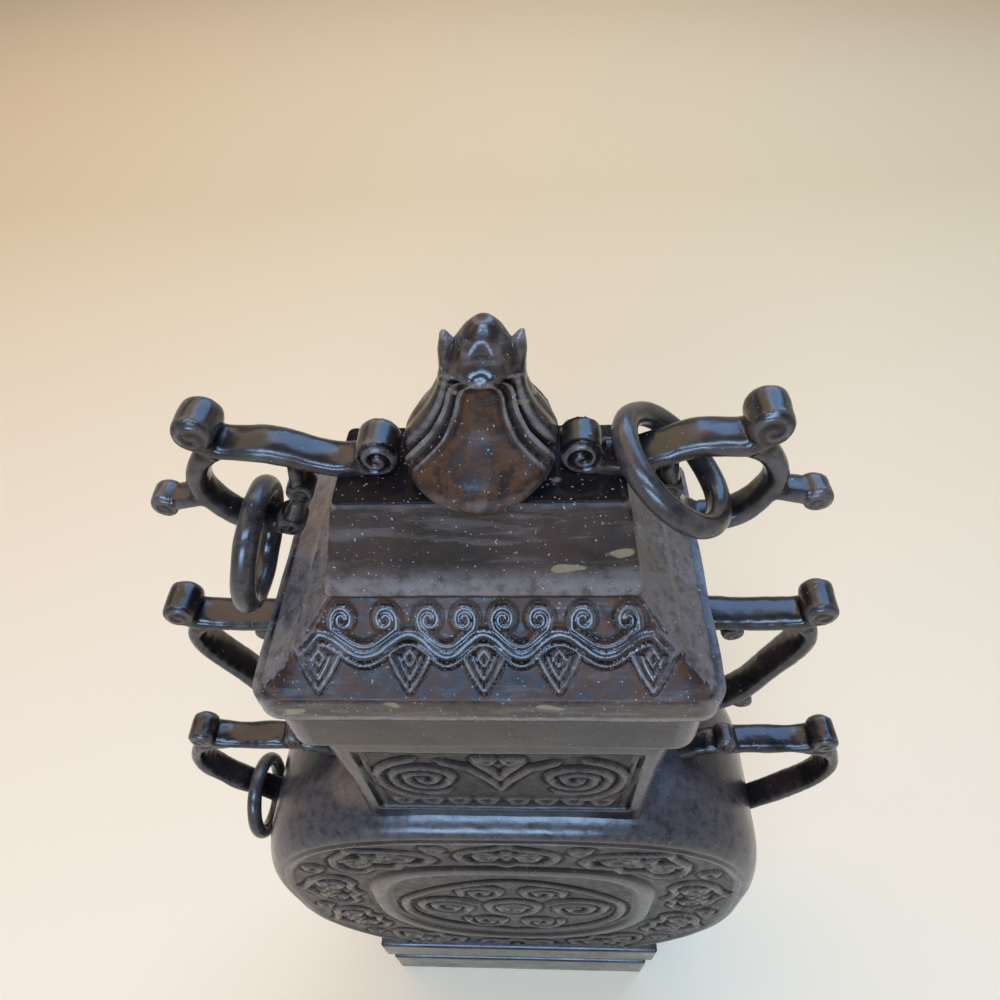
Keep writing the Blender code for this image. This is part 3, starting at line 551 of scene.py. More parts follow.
# %% Jade
POLISH, HAZE, GROUND_ROUGHNESS, RUBBED_ROUGHNESS = 0.17, 0.12, 0.55, 0.10
SHEEN, GROUND_SHEEN, HOLLOW_SHEEN = 0.5, 0.10, 0.12
# The first colour is painted shade for the hollows; the patch and dust colours are real marks.
HOLLOW_SHADE, PATCH, DUST = (0.004, 0.004, 0.005), (0.20, 0.15, 0.085), (0.50, 0.46, 0.42)
INDEX, COAT, COAT_ROUGHNESS = 1.46, 0.05, 0.12
PIT_DEPTH, PIT_STRENGTH = 0.00006, 0.35
WAVE_DEPTH, WAVE_STRENGTH = 0.0006, 0.30


# On the lid, wear also sets the strength of the painted highlight and painted sheen.
def jade(name, deep, warm, earth, worn, wear, earth_amount, grain=0.0, patches=0.0):
    """Dark polished stone. wear is how pale its edges are, earth_amount how much dirt its hollows hold."""
    n = Nodes(name)
    ridge, hollow, ground = n.attribute("ridge"), n.attribute("hollow"), n.attribute("ground")
    clouds = n.remap(n.noise(55, 5, 0.6), 0.38, 0.66)
    colour = n.layer(deep, warm, clouds)
    mottle = n.noise(330, 6, 0.7, shift=(3, 1, 2))
    if grain:
        streaks = n.noise(60, 5, 0.65, stretch=(0.7, 3.0, 5.5), shift=(1, 0, 4))
        colour = n.layer(colour, worn, n.math("MULTIPLY", n.remap(streaks, 0.50, 0.64), grain))
    dirt = n.math("MULTIPLY", n.remap(mottle, 0.42, 0.58, 0.10, 1.0), earth_amount)
    colour = n.layer(colour, earth, n.math("MULTIPLY", dirt, ground))
    # Painted shade: the hollows, and the lid's plateau under the bud, are darkened towards near black.
    colour = n.layer(colour, HOLLOW_SHADE, n.math("MULTIPLY", hollow, 0.85))
    # Pale wear on what stands out; on the lid this also lays a painted highlight low on the block and painted
    # sheen on the slope's side faces.
    rubbed_and_sheen = n.math("MULTIPLY", n.remap(ridge, 0.15, 0.75), n.remap(mottle, 0.32, 0.58, 0.3, 1.0))
    colour = n.layer(colour, worn, n.math("MULTIPLY", rubbed_and_sheen, wear))
    if patches:
        spots = n.remap(n.noise(62, 2, 0.4, stretch=(1, 1.6, 2.4), shift=(7, 3, 5)), 0.715, 0.735)
        colour = n.layer(colour, PATCH, n.math("MULTIPLY", spots, patches))
    rare = 0.735 - 0.035 * (wear > 0.5)
    specks = n.remap(n.noise(1500, 2, 0.4, shift=(5, 5, 5)), rare, rare + 0.025)
    colour = n.layer(colour, DUST, n.math("MULTIPLY", specks, 0.25 + 0.25 * wear))
    n.link(colour, n.shader.inputs["Base Color"])
    haze = n.remap(n.noise(140, 5, 0.65, shift=(2, 6, 1)), 0.30, 0.72, POLISH, POLISH + HAZE)
    dull = n.math("MULTIPLY", ground, n.remap(mottle, 0.3, 0.65, 0.45, 1.0))
    rough = n.math("ADD", haze, n.math("MULTIPLY", dull, GROUND_ROUGHNESS - POLISH))
    rough = n.math("ADD", rough, n.math("MULTIPLY", rubbed_and_sheen, RUBBED_ROUGHNESS * wear))
    n.link(rough, n.shader.inputs["Roughness"])
    shine = n.math("MULTIPLY", n.remap(dull, 0.0, 1.0, SHEEN, GROUND_SHEEN),
                   n.remap(hollow, 0.0, 1.0, 1.0, HOLLOW_SHEEN))
    n.link(shine, n.shader.inputs["Specular IOR Level"])
    n.shader.inputs["IOR"].default_value = INDEX
    n.shader.inputs["Coat Weight"].default_value = COAT
    n.shader.inputs["Coat Roughness"].default_value = COAT_ROUGHNESS
    pits = n.height(n.noise(2600, 3, 0.6), PIT_DEPTH, PIT_STRENGTH)
    waves = n.height(n.noise(170, 3, 0.5, shift=(4, 2, 9)), WAVE_DEPTH, WAVE_STRENGTH, onto=pits)
    n.link(waves, n.shader.inputs["Normal"])
    return n.material


# The last colour is pale wear and grain, and on the lid also painted highlight and painted sheen.
EARTH, DULL_EARTH, PALE_WEAR_AND_SHEEN = (0.085, 0.036, 0.016), (0.045, 0.034, 0.024), (0.17, 0.135, 0.12)
vase_jade = jade("dark jade", (0.004, 0.003, 0.004), (0.020, 0.011, 0.010), DULL_EARTH, PALE_WEAR_AND_SHEEN, 0.30, 0.50)
lid_jade = jade("worn jade", (0.006, 0.004, 0.004), (0.030, 0.016, 0.012), EARTH, PALE_WEAR_AND_SHEEN, 0.80, 0.80, 0.30, 0.8)
strap_jade = jade("handled jade", (0.005, 0.004, 0.004), (0.024, 0.014, 0.011), EARTH, PALE_WEAR_AND_SHEEN, 0.40, 0.4)
ring_jade = jade("ring jade", (0.005, 0.004, 0.004), (0.020, 0.012, 0.010), EARTH, PALE_WEAR_AND_SHEEN, 0.30, 0.3)
print("stone finishes:", [m.name for m in (vase_jade, lid_jade, strap_jade, ring_jade)])

# %% [markdown]
# ## The lid
#
# The lid is a hipped roof: an upright eave band, a flared slope with the carved band, and a steep block
# that carries the bud. It is hollow, and a flange under it keeps it in the mouth. All of this can be one
# sheet: the rows of the grid start inside, under the plateau, run down the hollow and the flange, out to
# the eave, and up the slope to the middle of the plateau. No cut is needed, and the wall is true.


# %% Rounded rectangles in numpy
CORNER_SHARE = 0.03


def corner_square(turn, width, depth, corner, front_share):
    """Points round a rectangle with round corners. front_share of the turns are spent on the front."""
    half_x, half_y = width / 2 - corner, depth / 2 - corner
    side_share = (1 - front_share) * 0.5
    flank = side_share - 2 * CORNER_SHARE
    stations = np.cumsum([0, front_share / 2, CORNER_SHARE, flank, CORNER_SHARE, side_share, CORNER_SHARE,
                          flank, CORNER_SHARE, front_share / 2])
    stations = stations / stations[-1]
    part = np.clip((turn[:, None] - stations[:-1]) / np.diff(stations), 0, 1)
    index = np.clip(np.searchsorted(stations, turn, side="right") - 1, 0, 8)
    local = part[np.arange(len(turn)), index]
    x, y = np.zeros(len(turn)), np.zeros(len(turn))
    legs = {0: ((0, -1), (1, -1)), 2: ((1, -1), (1, 1)), 4: ((1, 1), (-1, 1)), 6: ((-1, 1), (-1, -1)),
            8: ((-1, -1), (0, -1))}
    sides = {0: (0, -1), 2: (1, 0), 4: (0, 1), 6: (-1, 0), 8: (0, -1)}
    for leg, (start, end) in legs.items():
        here = index == leg
        x[here] = half_x[here] * (start[0] + (end[0] - start[0]) * local[here]) + corner[here] * sides[leg][0]
        y[here] = half_y[here] * (start[1] + (end[1] - start[1]) * local[here]) + corner[here] * sides[leg][1]
    corners = ((1, (1, -1), -90), (3, (1, 1), 0), (5, (-1, 1), 90), (7, (-1, -1), 180))
    for leg, (sign_x, sign_y), begin in corners:
        here = index == leg
        angle = np.radians(begin + 90 * local[here])
        x[here] = sign_x * half_x[here] + corner[here] * np.cos(angle)
        y[here] = sign_y * half_y[here] + corner[here] * np.sin(angle)
    return x, y


def along_profile(t, profile):
    """Read the rows of a profile table at t. Each row: share of the sheet's rows, then its values."""
    table = np.array(profile, dtype=float)
    return [np.interp(t, table[:, 0], table[:, column]) for column in range(1, table.shape[1])]


print("rounded rectangles are ready")

# %% [markdown]
# The carved band has four cloud heads over a polished garland, with leaves hanging where two heads meet.
# Each head is one line: it curls inwards over its lobe, runs down the outside and meets its mirror image
# in a rounded point. The heads at the ends are wider, as on the real lid.

# %% The carved band of the lid
HEADS = [(-0.0240, 0.0184), (-0.0074, 0.0148), (0.0074, 0.0148), (0.0240, 0.0184)]
END_LEAF = 0.0332
LEAVES = [-END_LEAF, -0.0148, 0.0, 0.0148, END_LEAF]
LEAF_DEPTHS, LEAF_HALVES = [0.0095, 0.0112, 0.0183], [0.0046, 0.0040, 0.0]
BAND_HALF, BAND_FADE, LEAF_FADE = 0.0335, 0.0006, 0.0004
GARLAND_LEVEL, GARLAND_SWING = 0.0091, 0.0021
LINE_HALF, RIBBON_HALF, THIN_HALF = 0.00074, 0.00110, 0.00050


def garland(share, below=0.0):
    """Depth of the garland under a head, share from -0.5 to 0.5 of the head's width."""
    return GARLAND_LEVEL + GARLAND_SWING * math.cos(math.tau * share) + below


def head_lines(centre, width):
    lobe = (0.235 * width, 0.0043)
    curl = spiral(lobe, 0.0023, 0.0005, 1.45, 0.0, direction=-1)
    side = [(share * width, garland(share, -0.0018)) for share in np.linspace(0.36, 0.0, 8)]
    half = list(reversed(curl)) + side
    return [[(centre + sign * x, depth) for x, depth in half] for sign in (1, -1)]


def leaf_lines(centre):
    outer = [(0.0040, 0.0112), (0.0024, 0.0145), (0.0, 0.0183)]
    inner = [(0.0022, 0.0113), (0.0012, 0.0136), (0.0, 0.0158)]
    diamond = [(0.0, 0.0100), (0.0012, 0.0114), (0.0, 0.0132)]
    return [[(centre + sign * x, depth) for x, depth in half] for half in (outer, inner, diamond)
            for sign in (1, -1)]


def lid_band(x, depth):
    """Height of the carving, and how much of it is rough ground, at x across and depth down the slope."""
    points = np.column_stack([x, depth])
    clouds = nearest_line(points, [line for head in HEADS for line in head_lines(*head)])
    ribbon_lines, thin_lines = [], []
    for centre, width in HEADS:
        shares = np.linspace(-0.5, 0.5, 19)
        ribbon_lines.append([(centre + share * width, garland(share)) for share in shares])
        thin_lines.append([(centre + share * width, garland(share, 0.0019)) for share in shares])
    for side in (-1, 1):
        ribbon_lines.append([(side * END_LEAF, garland(0.5)), (side * 0.0372, 0.0105),
                             (side * 0.0420, 0.0098)])
    ribbons = nearest_line(points, ribbon_lines)
    thins = nearest_line(points, thin_lines)
    leaves = nearest_line(points, [line for centre in LEAVES for line in leaf_lines(centre)])
    height = np.zeros(len(x))
    groove = np.zeros(len(x))
    cuts = ((clouds, LINE_HALF), (ribbons, RIBBON_HALF), (thins, THIN_HALF), (leaves, THIN_HALF))
    for distance, half in cuts:
        height = np.maximum(height, round_back(distance, half))
        groove = np.maximum(groove, groove_beside(distance, half) * (distance > half))
    on_line = height > 0.02
    thin_points = sorted({round(px, 6): py for line in thin_lines for px, py in line}.items())
    thin_depth = np.interp(x, *zip(*thin_points))
    inside = np.clip((thin_depth - depth) / BAND_FADE, 0, 1)
    inside = inside * np.clip((BAND_HALF + 0.1 * depth - np.abs(x)) / BAND_FADE, 0, 1)
    leaf_inside = np.zeros(len(x))
    for centre in LEAVES:
        half = np.interp(depth, LEAF_DEPTHS, LEAF_HALVES)
        leaf = np.clip((half - np.abs(x - centre)) / LEAF_FADE, 0, 1) * (depth > LEAF_DEPTHS[0])
        leaf_inside = np.maximum(leaf_inside, leaf)
    sunk = np.maximum(inside, leaf_inside)
    ground = np.where(on_line, 0.0, np.maximum(sunk, 0.70))
    level = np.where(on_line, 0.62 * height - 0.05, -0.30 * sunk - 0.55 * groove * (1 - 0.5 * sunk))
    return level, ground


print("the band has", sum(len(head_lines(*head)) for head in HEADS), "cloud lines")

# %% Lid profile and sheet
LID_COLUMNS, LID_ROWS = 600, 128
LID_FRONT_SHARE = 0.56
PLAIN_LINE_DEPTH, PLAIN_LINE_HALF = 0.0110, 0.0011


def lid_profile():
    """Rows of share, width, depth, corner and z, from the hollow's ceiling to the plateau."""
    inner_w, inner_d = MOUTH_WIDTH - 2 * FLANGE_CLEARANCE, MOUTH_DEPTH - 2 * FLANGE_CLEARANCE
    hollow_w, hollow_d = inner_w - 2 * FLANGE_WALL, inner_d - 2 * FLANGE_WALL
    drop = LID_WALL / BLOCK_HEIGHT
    top_w = PLATEAU_WIDTH + (BLOCK_WIDTH - PLATEAU_WIDTH) * drop - 2 * LID_WALL
    top_d = PLATEAU_DEPTH + (BLOCK_DEPTH - PLATEAU_DEPTH) * drop - 2 * LID_WALL
    ceiling, bottom = PLATEAU - LID_WALL, LID_BOTTOM - FLANGE_DROP
    e = EDGE_ROUND
    rows = [(0.0, 0.0, 0.0, 0.0, ceiling), (0.02, top_w, top_d, NECK_CORNER, ceiling),
            (0.05, hollow_w, hollow_d, NECK_CORNER, EAVE_TOP),
            (0.07, hollow_w, hollow_d, NECK_CORNER, bottom),
            (0.08, inner_w, inner_d, NECK_CORNER, bottom), (0.10, inner_w, inner_d, NECK_CORNER, LID_BOTTOM),
            (0.12, EAVE_WIDTH - 2 * e, EAVE_DEPTH - 2 * e, EAVE_CORNER - e, LID_BOTTOM)]
    for turn in (30, 60, 90):
        side, rise = math.sin(math.radians(turn)), 1 - math.cos(math.radians(turn))
        width, depth = EAVE_WIDTH - 2 * e * (1 - side), EAVE_DEPTH - 2 * e * (1 - side)
        corner, z = EAVE_CORNER - e * (1 - side), LID_BOTTOM + e * rise
        rows.append((0.12 + 0.02 * turn / 90, width, depth, corner, z))
    rows.append((0.20, EAVE_WIDTH, EAVE_DEPTH, EAVE_CORNER, EAVE_TOP - e * 0.6))
    rows.append((0.215, EAVE_WIDTH - 0.3 * e, EAVE_DEPTH - 0.3 * e, EAVE_CORNER, EAVE_TOP - e * 0.1))
    for i in range(13):
        t = 1 - (i + 0.35) / 12.35
        grow = (EAVE_DEPTH - BLOCK_DEPTH + 2 * BLOCK_STEP) * t - 2 * BLOCK_STEP
        z = BLOCK_BOTTOM - SLOPE_HEIGHT * t - SLOPE_SAG * math.sin(math.pi * t)
        rows.append((0.23 + 0.53 * i / 12, BLOCK_WIDTH + grow, BLOCK_DEPTH + grow,
                     EDGE_ROUND + (EAVE_CORNER - EDGE_ROUND) * t, z))
    top_w, top_d = PLATEAU_WIDTH + 2 * e, PLATEAU_DEPTH + 2 * e
    rows += [(0.775, BLOCK_WIDTH - 0.8 * e, BLOCK_DEPTH - 0.8 * e, e, BLOCK_BOTTOM + 0.1 * e),
             (0.79, BLOCK_WIDTH - 0.1 * e, BLOCK_DEPTH - 0.1 * e, e, BLOCK_BOTTOM + 0.6 * e),
             (0.80, BLOCK_WIDTH, BLOCK_DEPTH, e, BLOCK_BOTTOM + 1.1 * e),
             (0.93, top_w - 0.3 * e, top_d - 0.3 * e, e, PLATEAU - 1.1 * e),
             (0.945, top_w - 1.0 * e, top_d - 1.0 * e, e, PLATEAU - 0.3 * e),
             (0.96, top_w - 2.2 * e, top_d - 2.2 * e, e, PLATEAU),
             (1.0, 0.0, 0.0, 0.0, PLATEAU)]
    return rows


def lid_surface(s, t):
    width, depth, corner, z = along_profile(t, lid_profile())
    x, y = corner_square(s, width, depth, np.minimum(corner, np.minimum(width, depth) / 2), LID_FRONT_SHARE)
    return np.column_stack([x, y, z])


def slope_depth(z):
    """Distance down the slope from the block, in metres, for points on the slope."""
    shares = np.linspace(0, 1, 60)
    levels = BLOCK_BOTTOM - SLOPE_HEIGHT * shares - SLOPE_SAG * np.sin(np.pi * shares)
    return np.interp(-z, -levels, shares * SLOPE_RUN)


def carve_lid(lid):
    points, normals = mesh_points(lid), vertex_normals(lid)
    outside = (points[:, 2] > EAVE_TOP - 0.001) & (points[:, 2] < BLOCK_BOTTOM - 0.0001)
    front = outside & (normals[:, 1] < -0.3) & (normals[:, 2] > 0.3)
    other = outside & ~front & (normals[:, 2] > 0.3) & (np.abs(points[:, 0]) + np.abs(points[:, 1]) > 0.017)
    level, ground = np.zeros(len(points)), np.zeros(len(points))
    depth = slope_depth(points[:, 2])
    hip = BLOCK_WIDTH / 2 + (EAVE_WIDTH - BLOCK_WIDTH) / 2 * depth / SLOPE_RUN
    fade = np.clip((hip - np.abs(points[:, 0]) - 0.0006) / 0.0010, 0, 1)
    height, rough = lid_band(points[front, 0], depth[front])
    level[front] = height * fade[front]
    ground[front] = rough * fade[front]
    plain = np.exp(-((depth - PLAIN_LINE_DEPTH) / PLAIN_LINE_HALF) ** 2)
    level[other] = 0.35 * plain[other]
    set_points(lid, points + normals * (level * LID_RELIEF)[:, None])
    store(lid, "ground", ground)


def mark_lid(lid):
    """Rubbed hips, a painted highlight low on the block, painted sheen on the slope's side faces, and dirt
    and painted shade on the plateau under the bud.
    """
    points, normals = mesh_points(lid), vertex_normals(lid)
    across, z = np.abs(points[:, 0]), points[:, 2]
    # Painted highlight: the lower part of the block is paled, fading upwards, through the ridge mark.
    low = np.clip(1 - (z - BLOCK_BOTTOM) / (0.50 * BLOCK_HEIGHT), 0, 1) * (z > BLOCK_BOTTOM - 0.0003)
    slope = (z > EAVE_TOP - 0.001) & (z <= BLOCK_BOTTOM)
    hip = BLOCK_WIDTH / 2 + (EAVE_WIDTH - BLOCK_WIDTH) / 2 * slope_depth(z) / SLOPE_RUN
    near_hip = np.exp(-((hip - across) / 0.0013) ** 2) * slope * (np.abs(normals[:, 1]) > 0.3)
    # Painted sheen: the slope's side faces are paled, through the ridge mark.
    side = 0.62 * slope * (np.abs(normals[:, 0]) > 0.4)
    plateau = np.clip((z - PLATEAU + 0.0012) / 0.0010, 0, 1)
    raise_mark(lid, "ridge", np.maximum.reduce([low, 0.70 * near_hip, side]), kept=1 - plateau)
    raise_mark(lid, "ground", plateau)
    # Painted shade on the plateau under the bud, laid through the hollow mark; the line above is its dirt.
    raise_mark(lid, "hollow", plateau)


lid_roof = wrapped_sheet("lid_roof", LID_COLUMNS, LID_ROWS, lid_surface)
carve_lid(lid_roof)
wear_surface(lid_roof, size=0.021, depth=0.00018, seed=11)
wear_surface(lid_roof, size=0.0045, depth=0.00006, seed=12)
mark_wear(lid_roof, reach=0.00028, passes=5)
mark_lid(lid_roof)
finish_piece(lid_roof, "root", lid_jade, "lid")

# %% [markdown]
# ## The rolled straps
#
# Every handle is a strap that ends in rolls, like a curled leaf. A strap is pulled out of one rounded
# section, a step at a time: extrude, then turn the section to face the next step. Rolls are cylinders with
# softened rims. Carved stone has no joints, so the parts are joined and remeshed into one skin with soft
# fillets, and only then are the spiral grooves cut in the rolled ends.

# %% Pull a strap along a line
SECTION_POINTS, SECTION_SQUARENESS = 20, 0.80
ROLL_SOFTNESS, ROLL_OVERHANG, SMALL_ROLL_SHARE = 0.42, 1.08, 0.9
GRAVER_HALF = 0.00048


def heading(start, end):
    return math.atan2(end[1] - start[1], end[0] - start[0])


def pull_strap(points, thickness, depth, steps=3):
    """A strap along a line in the XZ plane, pulled from its first section by extruding and turning."""
    path = smooth_path(points, steps)
    facing = heading(path[0], path[1])
    deselect()
    bpy.ops.mesh.primitive_circle_add(vertices=SECTION_POINTS, radius=1, fill_type="NGON",
                                      location=(path[0][0], 0, path[0][1]),
                                      rotation=(0, math.pi / 2 - facing, 0),
                                      scale=(thickness / 2, depth / 2, 1))
    strap = bpy.context.object
    circle = mesh_points(strap)
    set_points(strap, np.sign(circle) * np.abs(circle) ** SECTION_SQUARENESS)
    strap.scale = (thickness / 2, depth / 2, 1)
    bpy.ops.object.transform_apply(location=True, rotation=True, scale=True)
    bpy.ops.object.mode_set(mode="EDIT")
    bpy.ops.mesh.select_all(action="SELECT")
    for i in range(1, len(path)):
        (x0, z0), (x1, z1) = path[i - 1], path[i]
        bpy.ops.mesh.extrude_region_move(TRANSFORM_OT_translate={"value": (x1 - x0, 0, z1 - z0)})
        onward = heading(path[i - 1], path[min(i + 1, len(path) - 1)])
        turn = (onward - facing + math.pi) % math.tau - math.pi
        bpy.ops.transform.rotate(value=turn, orient_axis="Y", center_override=(x1, 0, z1))
        facing = onward
    bpy.ops.object.mode_set(mode="OBJECT")
    return strap


def roll_up(x, z, radius, length):
    """A rolled end: a cylinder along Y with softened rims."""
    deselect()
    bpy.ops.mesh.primitive_cylinder_add(vertices=40, radius=radius, depth=length, location=(x, 0, z),
                                        rotation=(math.pi / 2, 0, 0))
    bpy.ops.object.transform_apply(location=True, rotation=True, scale=True)
    roll = bpy.context.object
    soften = roll.modifiers.new("soft rims", "BEVEL")
    soften.width = radius * ROLL_SOFTNESS
    soften.segments = 4
    soften.limit_method = "ANGLE"
    bpy.ops.object.modifier_apply(modifier=soften.name)
    return roll


def fuse(name, parts, voxel, smoothing):
    """Join the parts and remesh them into one skin, as stone is one body."""
    deselect()
    for part in parts:
        part.select_set(True)
    bpy.context.view_layer.objects.active = parts[0]
    bpy.ops.object.join()
    whole = bpy.context.object
    whole.name = name
    remesh = whole.modifiers.new("one skin", "REMESH")
    remesh.mode = "VOXEL"
    remesh.voxel_size = voxel
    bpy.ops.object.modifier_apply(modifier=remesh.name)
    relax = whole.modifiers.new("soft fillets", "SMOOTH")
    relax.factor = 0.5
    relax.iterations = smoothing
    bpy.ops.object.modifier_apply(modifier=relax.name)
    return whole


def cut_spirals(handle, rolls, depths):
    """Cut a spiral in both ends of every roll.

    A roll is its x, z, radius, length and the side it unrolls to."""
    points = mesh_points(handle)
    for (x, z, radius, length, way), depth in zip(rolls, depths):
        line = spiral((x, z), radius * 0.99, radius * 0.16, 1.7, math.pi / 2 - way * 1.2, direction=way)
        flat = points[:, [0, 2]]
        near = np.linalg.norm(flat - (x, z), axis=1) < radius * 1.15
        near &= np.abs(points[:, 1]) > length / 2 - 0.0012
        distance = line_distance(flat[near], line)
        cut = depth * np.exp(-(distance / GRAVER_HALF) ** 2)
        points[near, 1] -= np.sign(points[near, 1]) * cut
    set_points(handle, points)


def left_copy(handle, name):
    """The same handle on the other side, with its own mesh."""
    deselect()
    handle.select_set(True)
    bpy.context.view_layer.objects.active = handle
    bpy.ops.object.duplicate()
    copy = bpy.context.object
    copy.name = name
    set_points(copy, mesh_points(copy) * (-1, 1, 1))
    bpy.ops.object.mode_set(mode="EDIT")
    bpy.ops.mesh.select_all(action="SELECT")
    bpy.ops.mesh.flip_normals()
    bpy.ops.object.mode_set(mode="OBJECT")
    return copy


def placed(shares, origin_x, origin_z, reach, drop):
    return [(origin_x + a * reach, origin_z + b * drop) for a, b in shares]


def dress_handle(handle, seed, replaces):
    wear_surface(handle, size=0.016, depth=0.00045, seed=seed)
    wear_surface(handle, size=0.0035, depth=0.00007, seed=seed + 1)
    mark_wear(handle, reach=0.00016, passes=6)
    store(handle, "ground", np.zeros(len(handle.data.vertices)))
    finish_piece(handle, "root", strap_jade, replaces, angle=60)


# %% [markdown]
# The lid's handles spring from the bud, run out over the eave and turn back in a loop. They were carved
# with the lid. A thin stem crosses each loop, and a small roll hangs outside it on a short neck.

# %% Handles of the lid
HANDLE_VOXEL, HANDLE_SMOOTHING = 0.00038, 12
DEEP_SPIRAL, WORN_SPIRAL = 0.00100, 0.00032
LID_REACH = 0.0629
LID_STRAP = [(0.305, 0.025), (0.366, 0.020), (0.431, 0.014), (0.504, 0.034), (0.573, 0.063), (0.649, 0.088),
             (0.725, 0.090), (0.790, 0.096), (0.845, 0.135)]
LID_ARM = [(0.763, 0.088), (0.850, 0.046), (0.905, -0.050), (0.885, -0.150), (0.820, -0.235), (0.735, -0.262),
           (0.655, -0.258)]
LID_STEM = [(0.655, -0.258), (0.600, -0.140), (0.565, 0.050)]
LID_LINK = [(0.890, -0.120), (1.030, -0.150)]
LID_ROLLS = [((0.305, 0.070), -1), ((0.832, 0.170), -1)]
LID_SMALL_ROLLS = [((1.048, -0.153), -1), ((0.655, -0.258), 1), ((0.584, -0.100), -1)]


def lid_handle(name):
    reach, parts, rolls = LID_REACH, [], []
    parts.append(pull_strap(placed(LID_STRAP, 0, PLATEAU, reach, reach), STRAP_THICKNESS, LID_STRAP_DEPTH))
    limbs = ((LID_ARM, STRAP_THICKNESS), (LID_STEM, STEM_THICKNESS), (LID_LINK, STEM_THICKNESS))
    for shares, thickness in limbs:
        parts.append(pull_strap(placed(shares, 0, PLATEAU, reach, reach), thickness, LID_ARM_DEPTH))
    for share, way in LID_ROLLS:
        x, z = placed([share], 0, PLATEAU, reach, reach)[0]
        rolls.append((x, z, ROLL_RADIUS, LID_STRAP_DEPTH * ROLL_OVERHANG, way))
    for share, way in LID_SMALL_ROLLS:
        x, z = placed([share], 0, PLATEAU, reach, reach)[0]
        rolls.append((x, z, SMALL_ROLL_RADIUS, LID_ARM_DEPTH, way))
    parts += [roll_up(*roll[:4]) for roll in rolls]
    handle = fuse(name, parts, HANDLE_VOXEL, HANDLE_SMOOTHING)
    cut_spirals(handle, rolls, [DEEP_SPIRAL] + [WORN_SPIRAL] * (len(rolls) - 1))
    return handle


lid_handle_right = lid_handle("lid_handle_right")
lid_handle_left = left_copy(lid_handle_right, "lid_handle_left")
dress_handle(lid_handle_right, 21, "lid")
dress_handle(lid_handle_left, 23, "lid")

# %% Handles of the rim
NECK_REACH, NECK_DROP = 0.0314, 0.0422
NECK_STRAP = [(-0.12, 0.125), (0.22, 0.136), (0.53, 0.125), (0.83, 0.136), (0.985, 0.17)]
NECK_ARM = [(0.83, 0.136), (0.985, 0.023), (0.985, -0.17), (0.82, -0.47), (0.65, -0.77), (0.37, -0.94),
            (-0.18, -1.0)]
NECK_ROLLS = [((1.0, 0.25), ROLL_RADIUS, ROLL_OVERHANG, -1),
              ((0.70, -0.83), SMALL_ROLL_RADIUS, SMALL_ROLL_SHARE, 1),
              ((0.40, 0.03), SMALL_ROLL_RADIUS, SMALL_ROLL_SHARE, -1)]


def side_handle(name, strap, arm, roll_list, x0, z0, reach, drop):
    parts = [pull_strap(placed(shares, x0, z0, reach, drop), STRAP_THICKNESS, STRAP_DEPTH)
             for shares in (strap, arm)]
    rolls = []
    for share, radius, length, way in roll_list:
        x, z = placed([share], x0, z0, reach, drop)[0]
        rolls.append((x, z, radius, STRAP_DEPTH * length, way))
    parts += [roll_up(*roll[:4]) for roll in rolls]
    handle = fuse(name, parts, HANDLE_VOXEL, HANDLE_SMOOTHING)
    cut_spirals(handle, rolls, [WORN_SPIRAL] * len(rolls))
    return handle


neck_handle_right = side_handle("neck_handle_right", NECK_STRAP, NECK_ARM, NECK_ROLLS,
                                RIM_WIDTH / 2, RIM_BOTTOM, NECK_REACH, NECK_DROP)
neck_handle_left = left_copy(neck_handle_right, "neck_handle_left")
dress_handle(neck_handle_right, 31, "vase")
dress_handle(neck_handle_left, 33, "vase")

# %% Handles of the shoulder
SHOULDER_REACH, SHOULDER_DROP = 0.0178, 0.0566
SHOULDER_STRAP = [(-1.84, -0.153), (-1.30, -0.050), (-0.62, -0.034), (0.054, -0.034), (0.46, -0.009)]
SHOULDER_ARM = [(0.19, -0.034), (0.68, -0.068), (1.0, -0.22), (1.0, -0.407), (0.73, -0.62), (-0.19, -1.0)]
SHOULDER_ROLLS = [((0.62, 0.045), ROLL_RADIUS, ROLL_OVERHANG, -1),
                  ((-1.03, 0.0), SMALL_ROLL_RADIUS, SMALL_ROLL_SHARE, -1)]

shoulder_handle_right = side_handle("shoulder_handle_right", SHOULDER_STRAP, SHOULDER_ARM, SHOULDER_ROLLS,
                                    BODY_WIDTH / 2, SHOULDER, SHOULDER_REACH, SHOULDER_DROP)
shoulder_handle_left = left_copy(shoulder_handle_right, "shoulder_handle_left")
dress_handle(shoulder_handle_right, 41, "vase")
dress_handle(shoulder_handle_left, 43, "vase")

# %% [markdown]
# ## The bud on the lid
#
# The finial is a bud: a round bulb, a waist, and a tuft with two pointed ears. It is turned first, as a
# sheet wrapped round its profile, then the ears are pulled out and fused with it. The petals are carved
# last: a petal's edge is a line on the bulb, given as an angle from the front at each height.

# %% Turn the bud
BUD_PROFILE = [(0.60, -0.04), (0.80, 0.02), (0.98, 0.12), (0.98, 0.22), (0.86, 0.34), (0.66, 0.47),
               (0.53, 0.59), (0.46, 0.71), (0.36, 0.83), (0.25, 0.93), (0.10, 1.0)]
BUD_EARS = [(0.26, 0.20, 0.50), (0.20, 0.32, 0.68), (0.12, 0.40, 0.82), (0.03, 0.45, 0.93)]
BUD_VOXEL, BUD_SMOOTHING = 0.00030, 4


def bud_surface(s, t):
    outline = np.array([(0.0, -0.04)] + smooth_path(BUD_PROFILE, 6) + [(0.0, 1.0)])
    rows = np.linspace(0, 1, len(outline))
    radius = np.interp(t, rows, outline[:, 0]) * FINIAL_RADIUS
    rise = np.interp(t, rows, outline[:, 1])
    angle = s * math.tau
    return np.column_stack([FINIAL_LEAN * rise + radius * np.cos(angle), radius * np.sin(angle),
                            PLATEAU + rise * FINIAL_HEIGHT])


